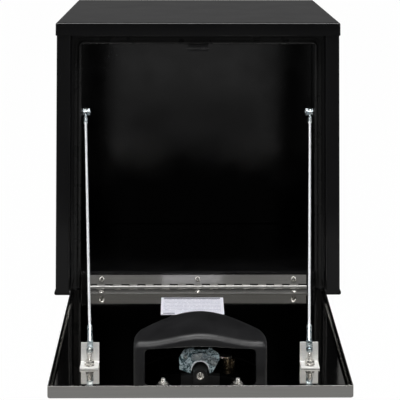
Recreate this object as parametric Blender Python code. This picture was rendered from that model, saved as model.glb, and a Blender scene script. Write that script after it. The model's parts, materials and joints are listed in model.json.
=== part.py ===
"""Truck tool box: a folded steel box with a drop-down stainless door on a piano hinge.

The door stands open. It hangs on two wire rope stays and carries a paddle latch under a plastic guard.
Frame: metres, +X to the right, +Z up, the opening faces -Y, origin at the centre of the underside.
"""

import math

import bmesh
import bpy
from mathutils import Matrix, Vector

MM = 0.001

# Driving dimensions of the box.
BODY_WIDTH = 456.4 * MM
DEPTH = 457.2 * MM
HEIGHT = 435.4 * MM
SHEET = 1.5 * MM
GAP = 0.3 * MM
CAP_DROP = 21.0 * MM
BEND = 2.0 * MM

FRONT = -DEPTH / 2
BODY_SIDE = BODY_WIDTH / 2
CAP_SIDE = BODY_SIDE + GAP + SHEET
BODY_TOP = HEIGHT - SHEET - GAP

# The recessed frame around the door: a flange, a return wall, and a lip that carries the seal.
OPENING_SIDE = 205.6 * MM
OPENING_TOP = HEIGHT - CAP_DROP
LIP_DEPTH = 22.0 * MM
LIP_WIDTH = 9.6 * MM

# The bottom pan: its upstand carries the hinge, and its side flanges wrap up outside the side panels.
PAN_FLANGE = 4.5 * MM
UPSTAND_DEPTH = 11.5 * MM
UPSTAND_SIDE = 189.0 * MM
UPSTAND_HEIGHT = 32.0 * MM
UPSTAND_LIP = 10.0 * MM

# The piano hinge.
PIN_DEPTH = 6.6 * MM
PIN_HEIGHT = 10.5 * MM
PIN_RADIUS = 1.4 * MM
BORE_RADIUS = 1.75 * MM
KNUCKLE_RADIUS = 3.4 * MM
KNUCKLES = 27
HINGE_LENGTH = 350.0 * MM
LEAF_HEIGHT = 18.5 * MM
LEAF_NEAR = 3.1 * MM
LEAF_FAR = LEAF_NEAR + SHEET
RIVET_SPREAD = 154.5 * MM
RIVET_HEIGHT = 11.5 * MM
RIVET_HEAD_RADIUS = 4.5 * MM
RIVET_SHANK_RADIUS = 2.0 * MM
RIVET_HOLE_RADIUS = 2.4 * MM

# The door, a tray that is open at its hinge edge. Heights on it are measured from its outer face.
DOOR_WIDTH = 401.4 * MM
DOOR_LENGTH = 398.0 * MM
DOOR_OVERHANG = 2.5 * MM
DOOR_FLANGE = 17.7 * MM
DOOR_BEND = 4.5 * MM
DOOR_TILT = 0.058
PIN_ABOVE_SKIN = SHEET + GAP + LEAF_FAR

# The wire rope stays.
ROPE_RADIUS = 2.0 * MM
ANCHOR_X = 183.5 * MM
ANCHOR_DEPTH = 33.0 * MM
ANCHOR_HEIGHT = 286.6 * MM
STAY_X = 152.7 * MM
BRACKET_S = 285.0 * MM
BRACKET_HEIGHT = 30.5 * MM
BRACKET_WIDTH = 25.4 * MM
BRACKET_FOOT = 24.0 * MM
BRACKET_SHEET = 2.0 * MM
STAY_BOLT_HEIGHT = 23.3 * MM
KNEE_S = 287.8 * MM
KNEE_HEIGHT = 33.5 * MM
SLEEVE_LENGTH = 24.0 * MM
EYE_LENGTH = 22.0 * MM

# The latch under its guard. S is the distance from the hinge pin along the door.
GUARD_SIDE = 89.0 * MM
GUARD_FRONT_S = 370.0 * MM
GUARD_BACK_S = 259.0 * MM
GUARD_SWEEP = 54.0 * MM
GUARD_SIDE_HEIGHT = 63.6 * MM
GUARD_CROWN = 10.4 * MM
GUARD_CROWN_SIDE = 76.0 * MM
GUARD_WALL = 2.5 * MM
GUARD_FOOT = 6.7 * MM
WINDOW_SIDE = 73.0 * MM
WINDOW_LOW = 6.0 * MM
WINDOW_HIGH = 53.7 * MM
WINDOW_CROWN = 3.2 * MM
WINDOW_CORNER = 5.0 * MM
GUARD_STUD_X = 49.6 * MM
GUARD_STUD_S = 380.0 * MM
BOLT_HEIGHT = 17.6 * MM
BOLT_RADIUS = 5.2 * MM
BARREL_RADIUS = 9.5 * MM
BARREL_FRONT_S = 368.0 * MM
BARREL_BACK_S = 346.0 * MM
SPRING_SEAT_S = 334.0 * MM
LATCH_PLATE_S = 349.0 * MM
LEVER_X = 18.0 * MM
LEVER_HEIGHT = 31.6 * MM
RIVET_X = -20.0 * MM
PLATE_RIVET_HEIGHT = 37.0 * MM
ARCH_HEIGHT = 20.5 * MM
ARCH_RADIUS = 11.0 * MM
ARCH_RIM = 1.3 * MM
POCKET_SIDE = 52.0 * MM
POCKET_BACK_S = 292.0 * MM
POCKET_FRONT_S = 344.0 * MM
POCKET_CORNER = 30.0 * MM
POCKET_TOP = 10.5 * MM
DISH_WALL = 1.2 * MM
PADDLE_PIN_S = 337.0 * MM
PADDLE_PIN_HEIGHT = 4.2 * MM
PADDLE_EAR_RADIUS = 2.8 * MM
PADDLE_BORE_RADIUS = 1.8 * MM
PADDLE_LEFT = -46.0 * MM
PADDLE_RIGHT = 24.0 * MM
LOCK_X = 38.0 * MM
LOCK_S = 326.0 * MM

UP = Vector((0, 0, 1))


# ---------------------------------------------------------------- scene and materials

def clear_scene():
    for item in list(bpy.data.objects):
        bpy.data.objects.remove(item, do_unlink=True)


def make_material(name, colour, roughness, metallic):
    material = bpy.data.materials.new(name)
    material.use_nodes = True
    shader = material.node_tree.nodes["Principled BSDF"]
    shader.inputs["Base Color"].default_value = (*colour, 1.0)
    shader.inputs["Roughness"].default_value = roughness
    shader.inputs["Metallic"].default_value = metallic
    material.diffuse_color = (*colour, 1.0)
    return material


def make_materials():
    recipes = {
        "black_paint": ((0.012, 0.012, 0.013), 0.22, 0.0),
        "stainless_mirror": ((0.60, 0.59, 0.57), 0.08, 1.0),
        "stainless_satin": ((0.45, 0.44, 0.42), 0.32, 1.0),
        "stainless_hinge": ((0.52, 0.51, 0.49), 0.30, 1.0),
        "zinc": ((0.62, 0.68, 0.72), 0.30, 1.0),
        "bright_steel": ((0.75, 0.74, 0.70), 0.18, 1.0),
        "rope": ((0.72, 0.73, 0.74), 0.40, 0.6),
        "seal_rubber": ((0.010, 0.010, 0.010), 0.55, 0.0),
        "guard_plastic": ((0.020, 0.020, 0.021), 0.42, 0.0),
        "barrel_plastic": ((0.008, 0.008, 0.009), 0.50, 0.0),
        "brass": ((0.78, 0.62, 0.36), 0.22, 1.0),
        "label": ((0.86, 0.86, 0.92), 0.45, 0.0),
    }
    return {name: make_material(name, *recipe) for name, recipe in recipes.items()}


# ---------------------------------------------------------------- shape helpers

def ordered(axis, a, b, along):
    """The point whose two free coordinates are a and b and whose coordinate on the axis is along."""
    if axis == "x":
        return (along, a, b)
    if axis == "y":
        return (a, along, b)
    return (a, b, along)


def prism(outline, axis, low, high):
    """A flat outline pushed out along an axis. The outline holds the other two coordinates."""
    shape = bmesh.new()
    rings = []
    for along in (low, high):
        rings.append([shape.verts.new(ordered(axis, a, b, along)) for a, b in outline])
    join_rings(shape, rings)
    return shape


def join_rings(shape, rings):
    """Quads between each ring and the next, and a face on each end."""
    count = len(rings[0])
    for first, second in zip(rings, rings[1:]):
        for i in range(count):
            j = (i + 1) % count
            shape.faces.new((first[i], first[j], second[j], second[i]))
    shape.faces.new(rings[0])
    shape.faces.new(rings[-1])


def block(low, high):
    outline = [(low[0], low[1]), (high[0], low[1]), (high[0], high[1]), (low[0], high[1])]
    return prism(outline, "z", low[2], high[2])


def arc(centre, radius, start, end, steps):
    """Points on an arc, angles in degrees."""
    points = []
    for i in range(steps + 1):
        angle = math.radians(start + (end - start) * i / steps)
        points.append((centre[0] + radius * math.cos(angle), centre[1] + radius * math.sin(angle)))
    return points


def rounded_rectangle(low, high, radius, steps=3):
    corners = ((high[0], high[1], 0), (low[0], high[1], 90), (low[0], low[1], 180), (high[0], low[1], 270))
    points = []
    for x, y, start in corners:
        inset_x = radius if x == low[0] else -radius
        inset_y = radius if y == low[1] else -radius
        points += arc((x + inset_x, y + inset_y), radius, start, start + 90, steps)
    return points


def bent_sheet(path, thickness, radius=BEND, steps=3):
    """The outline of a sheet folded along a path of its middle plane, with rounded folds."""
    spots = [Vector(point) for point in path]
    samples = []
    for i, spot in enumerate(spots):
        before = (spot - spots[i - 1]).normalized() if i > 0 else None
        after = (spots[i + 1] - spot).normalized() if i < len(spots) - 1 else None
        if before is None or after is None:
            direction = before or after
            samples.append((spot, Vector((-direction.y, direction.x))))
            continue
        turn = before.angle(after)
        setback = radius * math.tan(turn / 2)
        side = 1 if before.x * after.y - before.y * after.x > 0 else -1
        start = spot - before * setback
        normal = Vector((-before.y, before.x))
        centre = start + normal * side * radius
        for k in range(steps + 1):
            spin = Matrix.Rotation(side * turn * k / steps, 2)
            turned = spin @ normal
            samples.append((centre - turned * side * radius, turned))
    half = thickness / 2
    left = [tuple(point + normal * half) for point, normal in samples]
    right = [tuple(point - normal * half) for point, normal in samples]
    return left + right[::-1]


def section_ring(centre, u, v, radius, form, sides=12):
    """A ring of points around a centre: round, or hex with the radius as half the width across flats."""
    points = []
    for i in range(sides):
        angle = 2 * math.pi * i / sides
        reach = radius
        if form == "hex":
            reach = radius / math.cos((angle % (math.pi / 3)) - math.pi / 6)
        points.append(centre + (u * math.cos(angle) + v * math.sin(angle)) * reach)
    return points


def stack(base, axis, sections, sides=12):
    """A turned or hexagonal piece: sections are (height, radius, form) along an axis from a base."""
    axis = Vector(axis).normalized()
    base = Vector(base)
    u = axis.orthogonal().normalized()
    v = axis.cross(u)
    shape = bmesh.new()
    rings = []
    for height, radius, form in sections:
        points = section_ring(base + axis * height, u, v, radius, form, sides)
        rings.append([shape.verts.new(point) for point in points])
    join_rings(shape, rings)
    return shape


def rod(start, end, radius, sides=12):
    start = Vector(start)
    span = Vector(end) - start
    return stack(start, span, [(0, radius, "round"), (span.length, radius, "round")], sides)


def sweep(points, radius, sides):
    """A round wire along a list of points."""
    shape = bmesh.new()
    rings = []
    u = None
    for i, point in enumerate(points):
        ahead = points[min(i + 1, len(points) - 1)]
        behind = points[max(i - 1, 0)]
        direction = (ahead - behind).normalized()
        u = direction.orthogonal() if u is None else u - direction * u.dot(direction)
        u.normalize()
        ring = section_ring(point, u, direction.cross(u), radius, "round", sides)
        rings.append([shape.verts.new(spot) for spot in ring])
    join_rings(shape, rings)
    return shape


def soften(shape, edges, radius, steps=3):
    bmesh.ops.bevel(shape, geom=edges, offset=radius, segments=steps, profile=0.5, affect="EDGES")


def shape_to_object(name, shape):
    bmesh.ops.recalc_face_normals(shape, faces=shape.faces)
    mesh = bpy.data.meshes.new(name)
    shape.to_mesh(mesh)
    shape.free()
    item = bpy.data.objects.new(name, mesh)
    bpy.context.scene.collection.objects.link(item)
    return item


def combine(shape, tools, operation):
    """Cut the tools from a shape, or unite them with it, one after another."""
    item = shape_to_object("worked_shape", shape)
    for tool in tools:
        cutter = shape_to_object("tool", tool)
        modifier = item.modifiers.new("work", "BOOLEAN")
        modifier.operation = operation
        modifier.solver = "EXACT"
        modifier.object = cutter
        bpy.context.view_layer.update()
        evaluated = item.evaluated_get(bpy.context.evaluated_depsgraph_get())
        mesh = bpy.data.meshes.new_from_object(evaluated)
        item.modifiers.clear()
        item.data = mesh
        bpy.data.objects.remove(cutter, do_unlink=True)
    result = bmesh.new()
    result.from_mesh(item.data)
    bpy.data.objects.remove(item, do_unlink=True)
    return result


def cut(shape, *tools):
    return combine(shape, tools, "DIFFERENCE")


def unite(shape, *tools):
    return combine(shape, tools, "UNION")


# ---------------------------------------------------------------- placing pieces

class Assembly:
    """Adds finished shapes to the scene as named objects under the box or under the door."""

    def __init__(self):
        self.materials = make_materials()
        self.door_axis = bpy.data.objects.new("door_axis", None)
        self.door_axis.location = (0, FRONT + PIN_DEPTH, PIN_HEIGHT)
        self.door_axis.rotation_euler = (DOOR_TILT, 0, 0)
        bpy.context.scene.collection.objects.link(self.door_axis)

    def add(self, name, shape, material, origin=(0, 0, 0), parent=None):
        """A piece whose shape is given in its parent's frame, with its own origin at a point of it."""
        bmesh.ops.translate(shape, verts=shape.verts, vec=-Vector(origin))
        item = shape_to_object(name, shape)
        item.data.materials.append(self.materials[material])
        item.data.shade_smooth()
        item.data.set_sharp_from_angle(angle=math.radians(35))
        item.location = origin
        item.parent = parent
        return item

    def add_to_door(self, name, shape, material, origin=(0, 0, 0)):
        """A piece given in door coordinates: x, the distance from the pin, and the height on the skin."""
        for vert in shape.verts:
            vert.co = on_door(*vert.co)
        return self.add(name, shape, material, on_door(*origin), self.door_axis)


def on_door(x, s, height):
    """Door coordinates to the door axis's own frame."""
    if (x, s, height) == (0, 0, 0):
        return Vector((0, 0, 0))
    return Vector((x, -s, height - PIN_ABOVE_SKIN))


def door_to_world(x, s, height):
    turn = Matrix.Rotation(DOOR_TILT, 3, "X")
    return Vector((0, FRONT + PIN_DEPTH, PIN_HEIGHT)) + turn @ on_door(x, s, height)


# ---------------------------------------------------------------- the box

def top_cover():
    """A cap folded down over the front and both sides."""
    front = FRONT - GAP - SHEET
    shape = block((-CAP_SIDE, front, HEIGHT - CAP_DROP), (CAP_SIDE, DEPTH / 2, HEIGHT))
    folds = []
    for edge in shape.edges:
        middle = (edge.verts[0].co + edge.verts[1].co) / 2
        on_rim = middle.z > HEIGHT - MM and middle.y < DEPTH / 2 - MM
        on_corner = abs(middle.y - front) < MM and abs(middle.x) > CAP_SIDE - MM
        if on_rim or on_corner:
            folds.append(edge)
    soften(shape, folds, 3.2 * MM)
    hollow = block(
        (-CAP_SIDE + SHEET, front + SHEET, HEIGHT - CAP_DROP - 5 * MM),
        (CAP_SIDE - SHEET, DEPTH / 2 + 5 * MM, HEIGHT - SHEET),
    )
    return cut(shape, hollow)


def side_panel(side):
    """One sheet: the side wall, the front flange, the return wall and the seal's lip."""
    half = SHEET / 2
    path = [
        (BODY_SIDE - half, DEPTH / 2),
        (BODY_SIDE - half, FRONT + half),
        (OPENING_SIDE + half, FRONT + half),
        (OPENING_SIDE + half, FRONT + LIP_DEPTH + half),
        (OPENING_SIDE - LIP_WIDTH, FRONT + LIP_DEPTH + half),
    ]
    path = [(side * x, y) for x, y in path]
    shape = prism(bent_sheet(path, SHEET), "z", SHEET + 3 * GAP, BODY_TOP)
    lip_low = OPENING_TOP - LIP_WIDTH - GAP
    inner = (OPENING_SIDE - LIP_WIDTH - MM) * side
    outer = (OPENING_SIDE - 0.1 * MM) * side
    relief = block(
        (min(inner, outer), FRONT + LIP_DEPTH - MM, lip_low),
        (max(inner, outer), FRONT + LIP_DEPTH + SHEET + MM, HEIGHT),
    )
    return cut(shape, relief)


def back_panel():
    side = BODY_SIDE - SHEET - GAP
    return block((-side, DEPTH / 2 - SHEET, SHEET + GAP), (side, DEPTH / 2, BODY_TOP))


def bottom_pan():
    """The floor with side flanges, and an upstand at the front folded back at its top and at both ends."""
    notch = FRONT + LIP_DEPTH + SHEET + GAP
    half = SHEET / 2
    front = FRONT + UPSTAND_DEPTH
    fold = CAP_SIDE - 2 * BEND
    floor = prism(
        [
            (-UPSTAND_SIDE, front + BEND),
            (UPSTAND_SIDE, front + BEND),
            (UPSTAND_SIDE, notch),
            (OPENING_SIDE, notch),
            (OPENING_SIDE, FRONT),
            (fold, FRONT),
            (fold, DEPTH / 2),
            (-fold, DEPTH / 2),
            (-fold, FRONT),
            (-OPENING_SIDE, FRONT),
            (-OPENING_SIDE, notch),
            (-UPSTAND_SIDE, notch),
        ],
        "z",
        0,
        SHEET,
    )
    wall_path = [
        (-UPSTAND_SIDE + half, notch),
        (-UPSTAND_SIDE + half, front + half),
        (UPSTAND_SIDE - half, front + half),
        (UPSTAND_SIDE - half, notch),
    ]
    wall = prism(bent_sheet(wall_path, SHEET), "z", 0, UPSTAND_HEIGHT - half)
    lip = block(
        (-UPSTAND_SIDE, front + 0.2 * MM, UPSTAND_HEIGHT - SHEET),
        (UPSTAND_SIDE, front + UPSTAND_LIP, UPSTAND_HEIGHT),
    )
    shape = unite(floor, wall, lip, pan_flange(-1), pan_flange(1))
    holes = []
    for x in rivet_places():
        start = (x, front - MM, PIN_HEIGHT + RIVET_HEIGHT)
        holes.append(rod(start, (x, front + 3 * MM, PIN_HEIGHT + RIVET_HEIGHT), RIVET_HOLE_RADIUS))
    return cut(shape, *holes)


def pan_flange(side):
    """The floor's edge, turned up outside a side panel."""
    half = SHEET / 2
    path = [
        (side * (CAP_SIDE - 3 * BEND), half),
        (side * (CAP_SIDE - half), half),
        (side * (CAP_SIDE - half), PAN_FLANGE),
    ]
    return prism(bent_sheet(path, SHEET), "y", FRONT, DEPTH / 2)


def header_rail():
    """The folded rail behind the cap's front: a web, the recess's ceiling and the seal's lip."""
    half = SHEET / 2
    path = [
        (FRONT + half, BODY_TOP - half),
        (FRONT + half, OPENING_TOP + half),
        (FRONT + LIP_DEPTH + half, OPENING_TOP + half),
        (FRONT + LIP_DEPTH + half, OPENING_TOP - LIP_WIDTH),
    ]
    side = OPENING_SIDE - GAP
    return prism(bent_sheet(path, SHEET), "x", -side, side)


def door_seal():
    """A bulb seal that grips the lip's edge up one side, over the top and down the other."""
    section = [(10.1, 21.7), (4.6, 21.7), (4.6, 20.9), (9.8, 20.4), (11.0, 19.2), (12.9, 18.6), (14.8, 19.2)]
    section += [(16.0, 21.2), (16.2, 25.2), (15.0, 26.5), (10.1, 26.5)]
    corner = 20.0 * MM
    bottom = 6.0 * MM
    steps = 5
    stations = []
    for side, angles in ((1, range(0, steps + 1)), (-1, range(steps, -1, -1))):
        places = []
        for i in angles:
            angle = math.radians(90 * i / steps)
            centre = Vector((side * (OPENING_SIDE - corner), 0, OPENING_TOP - corner))
            places.append((centre, Vector((side * math.cos(angle), 0, math.sin(angle)))))
        foot = (Vector((side * (OPENING_SIDE - corner), 0, bottom)), Vector((side, 0, 0)))
        stations += [foot] + places if side > 0 else places + [foot]
    shape = bmesh.new()
    rings = []
    for centre, outward in stations:
        ring = []
        for inset, depth in section:
            spot = centre + outward * (corner - inset * MM)
            spot.y = FRONT + depth * MM
            ring.append(shape.verts.new(spot))
        rings.append(ring)
    join_rings(shape, rings)
    return shape


def striker_bracket():
    """The latch bolt's keeper: a strap from the roof, bent forward, with the bolt's hole."""
    level = 389.4 * MM
    path = [
        (FRONT + 7.0 * MM, level),
        (FRONT + 28.0 * MM, level),
        (FRONT + 28.0 * MM, BODY_TOP - MM),
        (FRONT + 48.0 * MM, BODY_TOP - MM),
    ]
    shape = prism(bent_sheet(path, BRACKET_SHEET), "x", -16 * MM, 16 * MM)
    depth = FRONT + PIN_DEPTH + BOLT_HEIGHT - PIN_ABOVE_SKIN
    return cut(shape, rod((0, depth, level - 4 * MM), (0, depth, level + 4 * MM), 6.2 * MM, 24))


def add_box(assembly):
    assembly.add("top_cover", top_cover(), "black_paint")
    assembly.add("left_side_panel", side_panel(-1), "black_paint")
    assembly.add("right_side_panel", side_panel(1), "black_paint")
    assembly.add("back_panel", back_panel(), "black_paint")
    assembly.add("bottom_pan", bottom_pan(), "black_paint")
    assembly.add("header_rail", header_rail(), "black_paint")
    assembly.add("door_seal", door_seal(), "seal_rubber")
    assembly.add("striker_bracket", striker_bracket(), "black_paint")


# ---------------------------------------------------------------- the hinge

def rivet_places():
    return (-RIVET_SPREAD, 0, RIVET_SPREAD)


def hinge_leaf(first):
    """A leaf in hinge coordinates (x, across the leaf, along the leaf) with every second knuckle."""
    half = HINGE_LENGTH / 2
    pitch = HINGE_LENGTH / KNUCKLES
    plate = block((-half, LEAF_NEAR, 0), (half, LEAF_FAR, LEAF_HEIGHT))
    shape = unite(rod((-half, 0, 0), (half, 0, 0), KNUCKLE_RADIUS, 12), plate)
    tools = [rod((-half - MM, 0, 0), (half + MM, 0, 0), BORE_RADIUS, 8)]
    reach = KNUCKLE_RADIUS + 0.8 * MM
    for i in range(1 - first, KNUCKLES, 2):
        low = -half + i * pitch - GAP / 2
        high = low + pitch + GAP
        low -= MM if i == 0 else 0
        high += MM if i == KNUCKLES - 1 else 0
        tools.append(block((low, -reach, -reach), (high, LEAF_FAR + MM, reach)))
    for x in rivet_places():
        start = (x, LEAF_NEAR - MM, RIVET_HEIGHT)
        tools.append(rod(start, (x, LEAF_FAR + MM, RIVET_HEIGHT), RIVET_HOLE_RADIUS))
    return cut(shape, *tools)


def hinge_rivet(x, far_end):
    """A domed rivet in hinge coordinates: its head on the leaf's near face, its shank through it."""
    near = LEAF_NEAR - 0.1 * MM
    head = [
        (near - far_end, RIVET_SHANK_RADIUS, "round"),
        (0, RIVET_SHANK_RADIUS, "round"),
        (0, RIVET_HEAD_RADIUS, "round"),
        (0.7 * MM, RIVET_HEAD_RADIUS * 0.9, "round"),
        (1.5 * MM, RIVET_HEAD_RADIUS * 0.6, "round"),
        (1.9 * MM, RIVET_HEAD_RADIUS * 0.2, "round"),
    ]
    return stack((x, near, RIVET_HEIGHT), (0, -1, 0), head, 16)


def to_box_leaf(shape):
    """Hinge coordinates to the box: across is into the box, along is up."""
    for vert in shape.verts:
        vert.co = vert.co + Vector((0, FRONT + PIN_DEPTH, PIN_HEIGHT))
    return shape


def to_door_leaf(shape):
    """Hinge coordinates to door coordinates: along is away from the pin, across is down to the skin."""
    for vert in shape.verts:
        x, across, along = vert.co
        vert.co = Vector((x, along, PIN_ABOVE_SKIN - across))
    return shape


def add_hinge(assembly):
    far_end = LEAF_FAR + SHEET
    assembly.add("hinge_leaf_box", to_box_leaf(hinge_leaf(1)), "stainless_hinge")
    assembly.add_to_door("hinge_leaf_door", to_door_leaf(hinge_leaf(0)), "stainless_hinge")
    pin = rod((-HINGE_LENGTH / 2, 0, 0), (HINGE_LENGTH / 2, 0, 0), PIN_RADIUS, 12)
    assembly.add("hinge_pin", to_box_leaf(pin), "stainless_hinge")
    for i, x in enumerate(rivet_places(), 1):
        assembly.add(f"hinge_rivet_box_{i}", to_box_leaf(hinge_rivet(x, far_end)), "bright_steel")
        rivet = to_door_leaf(hinge_rivet(x, far_end))
        assembly.add_to_door(f"hinge_rivet_door_{i}", rivet, "bright_steel")


# ---------------------------------------------------------------- the door

def tray_block(side, low_s, high_s, floor, height, radius):
    """A block rounded along its two lower sides and its lower front edge."""
    shape = block((-side, low_s, floor), (side, high_s, height))
    folds = []
    for edge in shape.edges:
        middle = (edge.verts[0].co + edge.verts[1].co) / 2
        if middle.z < floor + MM and middle.y > low_s + MM:
            folds.append(edge)
    soften(shape, folds, radius, 4)
    return shape


def pocket_outline(side, back, front, corner):
    points = arc((side - corner, back + corner), corner, -90, 0, 5)
    points += [(side, front), (-side, front)]
    points += arc((-side + corner, back + corner), corner, 180, 270, 5)
    return points


def door_skin():
    side = DOOR_WIDTH / 2
    shape = tray_block(side, -DOOR_OVERHANG, DOOR_LENGTH, 0, DOOR_FLANGE, DOOR_BEND)
    hollow = tray_block(
        side - SHEET,
        -DOOR_OVERHANG - 10 * MM,
        DOOR_LENGTH - SHEET,
        SHEET,
        DOOR_FLANGE + 10 * MM,
        DOOR_BEND - SHEET,
    )
    margin = 0.5 * MM
    outline = pocket_outline(
        POCKET_SIDE + margin, POCKET_BACK_S - margin, POCKET_FRONT_S + margin, POCKET_CORNER + margin
    )
    pocket = prism(outline, "z", -5 * MM, 5 * MM)
    holes = []
    for x in rivet_places():
        holes.append(rod((x, RIVET_HEIGHT, -MM), (x, RIVET_HEIGHT, 3 * MM), RIVET_HOLE_RADIUS))
    return cut(shape, hollow, pocket, *holes)


def care_label():
    return block((-57.8 * MM, 34.5 * MM, SHEET + GAP), (39.7 * MM, 106 * MM, SHEET + 2 * GAP))


# ---------------------------------------------------------------- the wire rope stays

def stay_bracket(side):
    low = SHEET + GAP + BRACKET_SHEET / 2
    path = [(BRACKET_S, BRACKET_HEIGHT), (BRACKET_S, low), (BRACKET_S + BRACKET_FOOT, low)]
    x = side * STAY_X
    half = BRACKET_WIDTH / 2
    shape = prism(bent_sheet(path, BRACKET_SHEET), "x", x - half, x + half)
    stud_s = BRACKET_S + BRACKET_FOOT / 2
    stud_hole = rod((x, stud_s, low - 3 * MM), (x, stud_s, low + 3 * MM), 3.4 * MM)
    bolt_end = (x, BRACKET_S + 3 * MM, STAY_BOLT_HEIGHT)
    bolt_hole = rod((x, BRACKET_S - 3 * MM, STAY_BOLT_HEIGHT), bolt_end, 2.9 * MM)
    return cut(shape, stud_hole, bolt_hole)


def bracket_stud(side):
    """A weld stud with its flange nut run down on to the bracket's foot."""
    base = (side * STAY_X, BRACKET_S + BRACKET_FOOT / 2, 0)
    sections = [
        (1.8, 3.0, "round"),
        (4.1, 3.0, "round"),
        (4.1, 7.4, "round"),
        (5.2, 7.4, "round"),
        (5.4, 5.8, "hex"),
        (10.4, 5.8, "hex"),
        (10.8, 5.0, "round"),
        (10.8, 3.0, "round"),
        (19.8, 3.0, "round"),
        (20.6, 2.3, "round"),
    ]
    return stack(base, UP, scaled(sections))


def scaled(sections):
    return [(height * MM, radius * MM, form) for height, radius, form in sections]


def stay_bolt(side):
    """The bolt through the bracket's upright, with the nut that holds the rope's tongue."""
    base = (side * STAY_X, BRACKET_S, STAY_BOLT_HEIGHT)
    sections = [
        (-5.0, 4.4, "hex"),
        (-1.4, 4.4, "hex"),
        (-1.4, 2.5, "round"),
        (3.9, 2.5, "round"),
        (3.9, 4.6, "hex"),
        (7.6, 4.6, "hex"),
        (8.2, 2.5, "round"),
        (9.6, 2.2, "round"),
    ]
    return stack(base, (0, 1, 0), scaled(sections))


def anchor_tab(side):
    """An angle behind the seal's lip that carries the rope's upper bolt."""
    path = [
        (side * 205.2 * MM, FRONT + 24.8 * MM),
        (side * 198.2 * MM, FRONT + 24.8 * MM),
        (side * 198.2 * MM, FRONT + 42.0 * MM),
    ]
    low = ANCHOR_HEIGHT - 10 * MM
    shape = prism(bent_sheet(path, BRACKET_SHEET), "z", low, low + 20 * MM)
    depth = FRONT + ANCHOR_DEPTH
    start = (side * 190 * MM, depth, ANCHOR_HEIGHT)
    return cut(shape, rod(start, (side * 206 * MM, depth, ANCHOR_HEIGHT), 3.4 * MM))


def anchor_bolt(side):
    """The upper bolt, from its head outside the tab to the two nuts either side of the rope's eye."""
    base = (0, FRONT + ANCHOR_DEPTH, ANCHOR_HEIGHT)
    sections = [
        (175.0, 2.4, "round"),
        (175.8, 3.0, "round"),
        (176.2, 3.0, "round"),
        (176.2, 5.5, "hex"),
        (180.5, 5.5, "hex"),
        (180.5, 3.0, "round"),
        (186.3, 3.0, "round"),
        (186.3, 5.5, "hex"),
        (190.8, 5.5, "hex"),
        (190.8, 3.0, "round"),
        (199.6, 3.0, "round"),
        (199.6, 5.5, "hex"),
        (203.4, 5.5, "hex"),
    ]
    return stack(base, (side, 0, 0), scaled(sections))


class StayLine:
    """The straight line of one taut rope, from its upper bolt to the knee of its lower tongue."""

    def __init__(self, side):
        self.side = side
        self.anchor = Vector((side * ANCHOR_X, FRONT + ANCHOR_DEPTH, ANCHOR_HEIGHT))
        self.knee = door_to_world(side * STAY_X, KNEE_S, KNEE_HEIGHT)
        self.direction = (self.knee - self.anchor).normalized()
        self.foot = self.knee - self.direction * SLEEVE_LENGTH
        self.length = (self.foot - self.anchor).length

    def at(self, fraction):
        return self.anchor + self.direction * self.length * fraction


# Where the rope's four links meet, as fractions of the line, and the clear space kept at each meeting.
UPPER_FOLD = 0.39
MIDDLE = 0.50
LOWER_FOLD = 0.61
FOLD_SPACE = 2.2 * MM
MIDDLE_SPACE = 1.6 * MM


def rope_eye(line):
    """The eye strap on the upper bolt and the sleeve pressed on the rope."""
    x = line.side
    along = line.direction
    anchor = line.anchor
    thick = 1.5 * MM
    across = Vector((10 * MM, 0, 0))
    faces = [(0, 6.2 * MM, "round"), (2 * thick, 6.2 * MM, "round")]
    eye = stack(anchor - Vector((x * thick, 0, 0)), (x, 0, 0), faces, 16)
    strap = rod(anchor + along * 3.6 * MM, anchor + along * (EYE_LENGTH - 6 * MM), ROPE_RADIUS, 12)
    sleeve = rod(anchor + along * 12 * MM, anchor + along * EYE_LENGTH, 3.2 * MM, 12)
    hole = rod(anchor - across, anchor + across, 3.4 * MM, 12)
    return cut(unite(eye, strap, sleeve), hole)


def rope_sleeve(side):
    """The lower tongue in door coordinates: flat on the bracket, bent back into the rope's sleeve."""
    x = side * STAY_X
    face = BRACKET_S + BRACKET_SHEET / 2 + GAP
    tongue = block(
        (x - 4.2 * MM, face, STAY_BOLT_HEIGHT - 5 * MM),
        (x + 4.2 * MM, face + 2.2 * MM, KNEE_HEIGHT + 0.6 * MM),
    )
    line = StayLine(side)
    turn = Matrix.Rotation(-DOOR_TILT, 3, "X")
    back = turn @ -line.direction
    back.y = -back.y
    knee = Vector((x, KNEE_S, KNEE_HEIGHT))
    sleeve = rod(knee - back * 2 * MM, knee + back * SLEEVE_LENGTH, 3.4 * MM, 12)
    hole = rod(
        (x, face - MM, STAY_BOLT_HEIGHT), (x, face + 4 * MM, STAY_BOLT_HEIGHT), 2.9 * MM
    )
    return cut(unite(tongue, sleeve), hole)


def rope_link(line, start, end, start_space, end_space):
    first = line.at(start) + line.direction * start_space
    last = line.at(end) - line.direction * end_space
    return rod(first, last, ROPE_RADIUS, 10)


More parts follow.
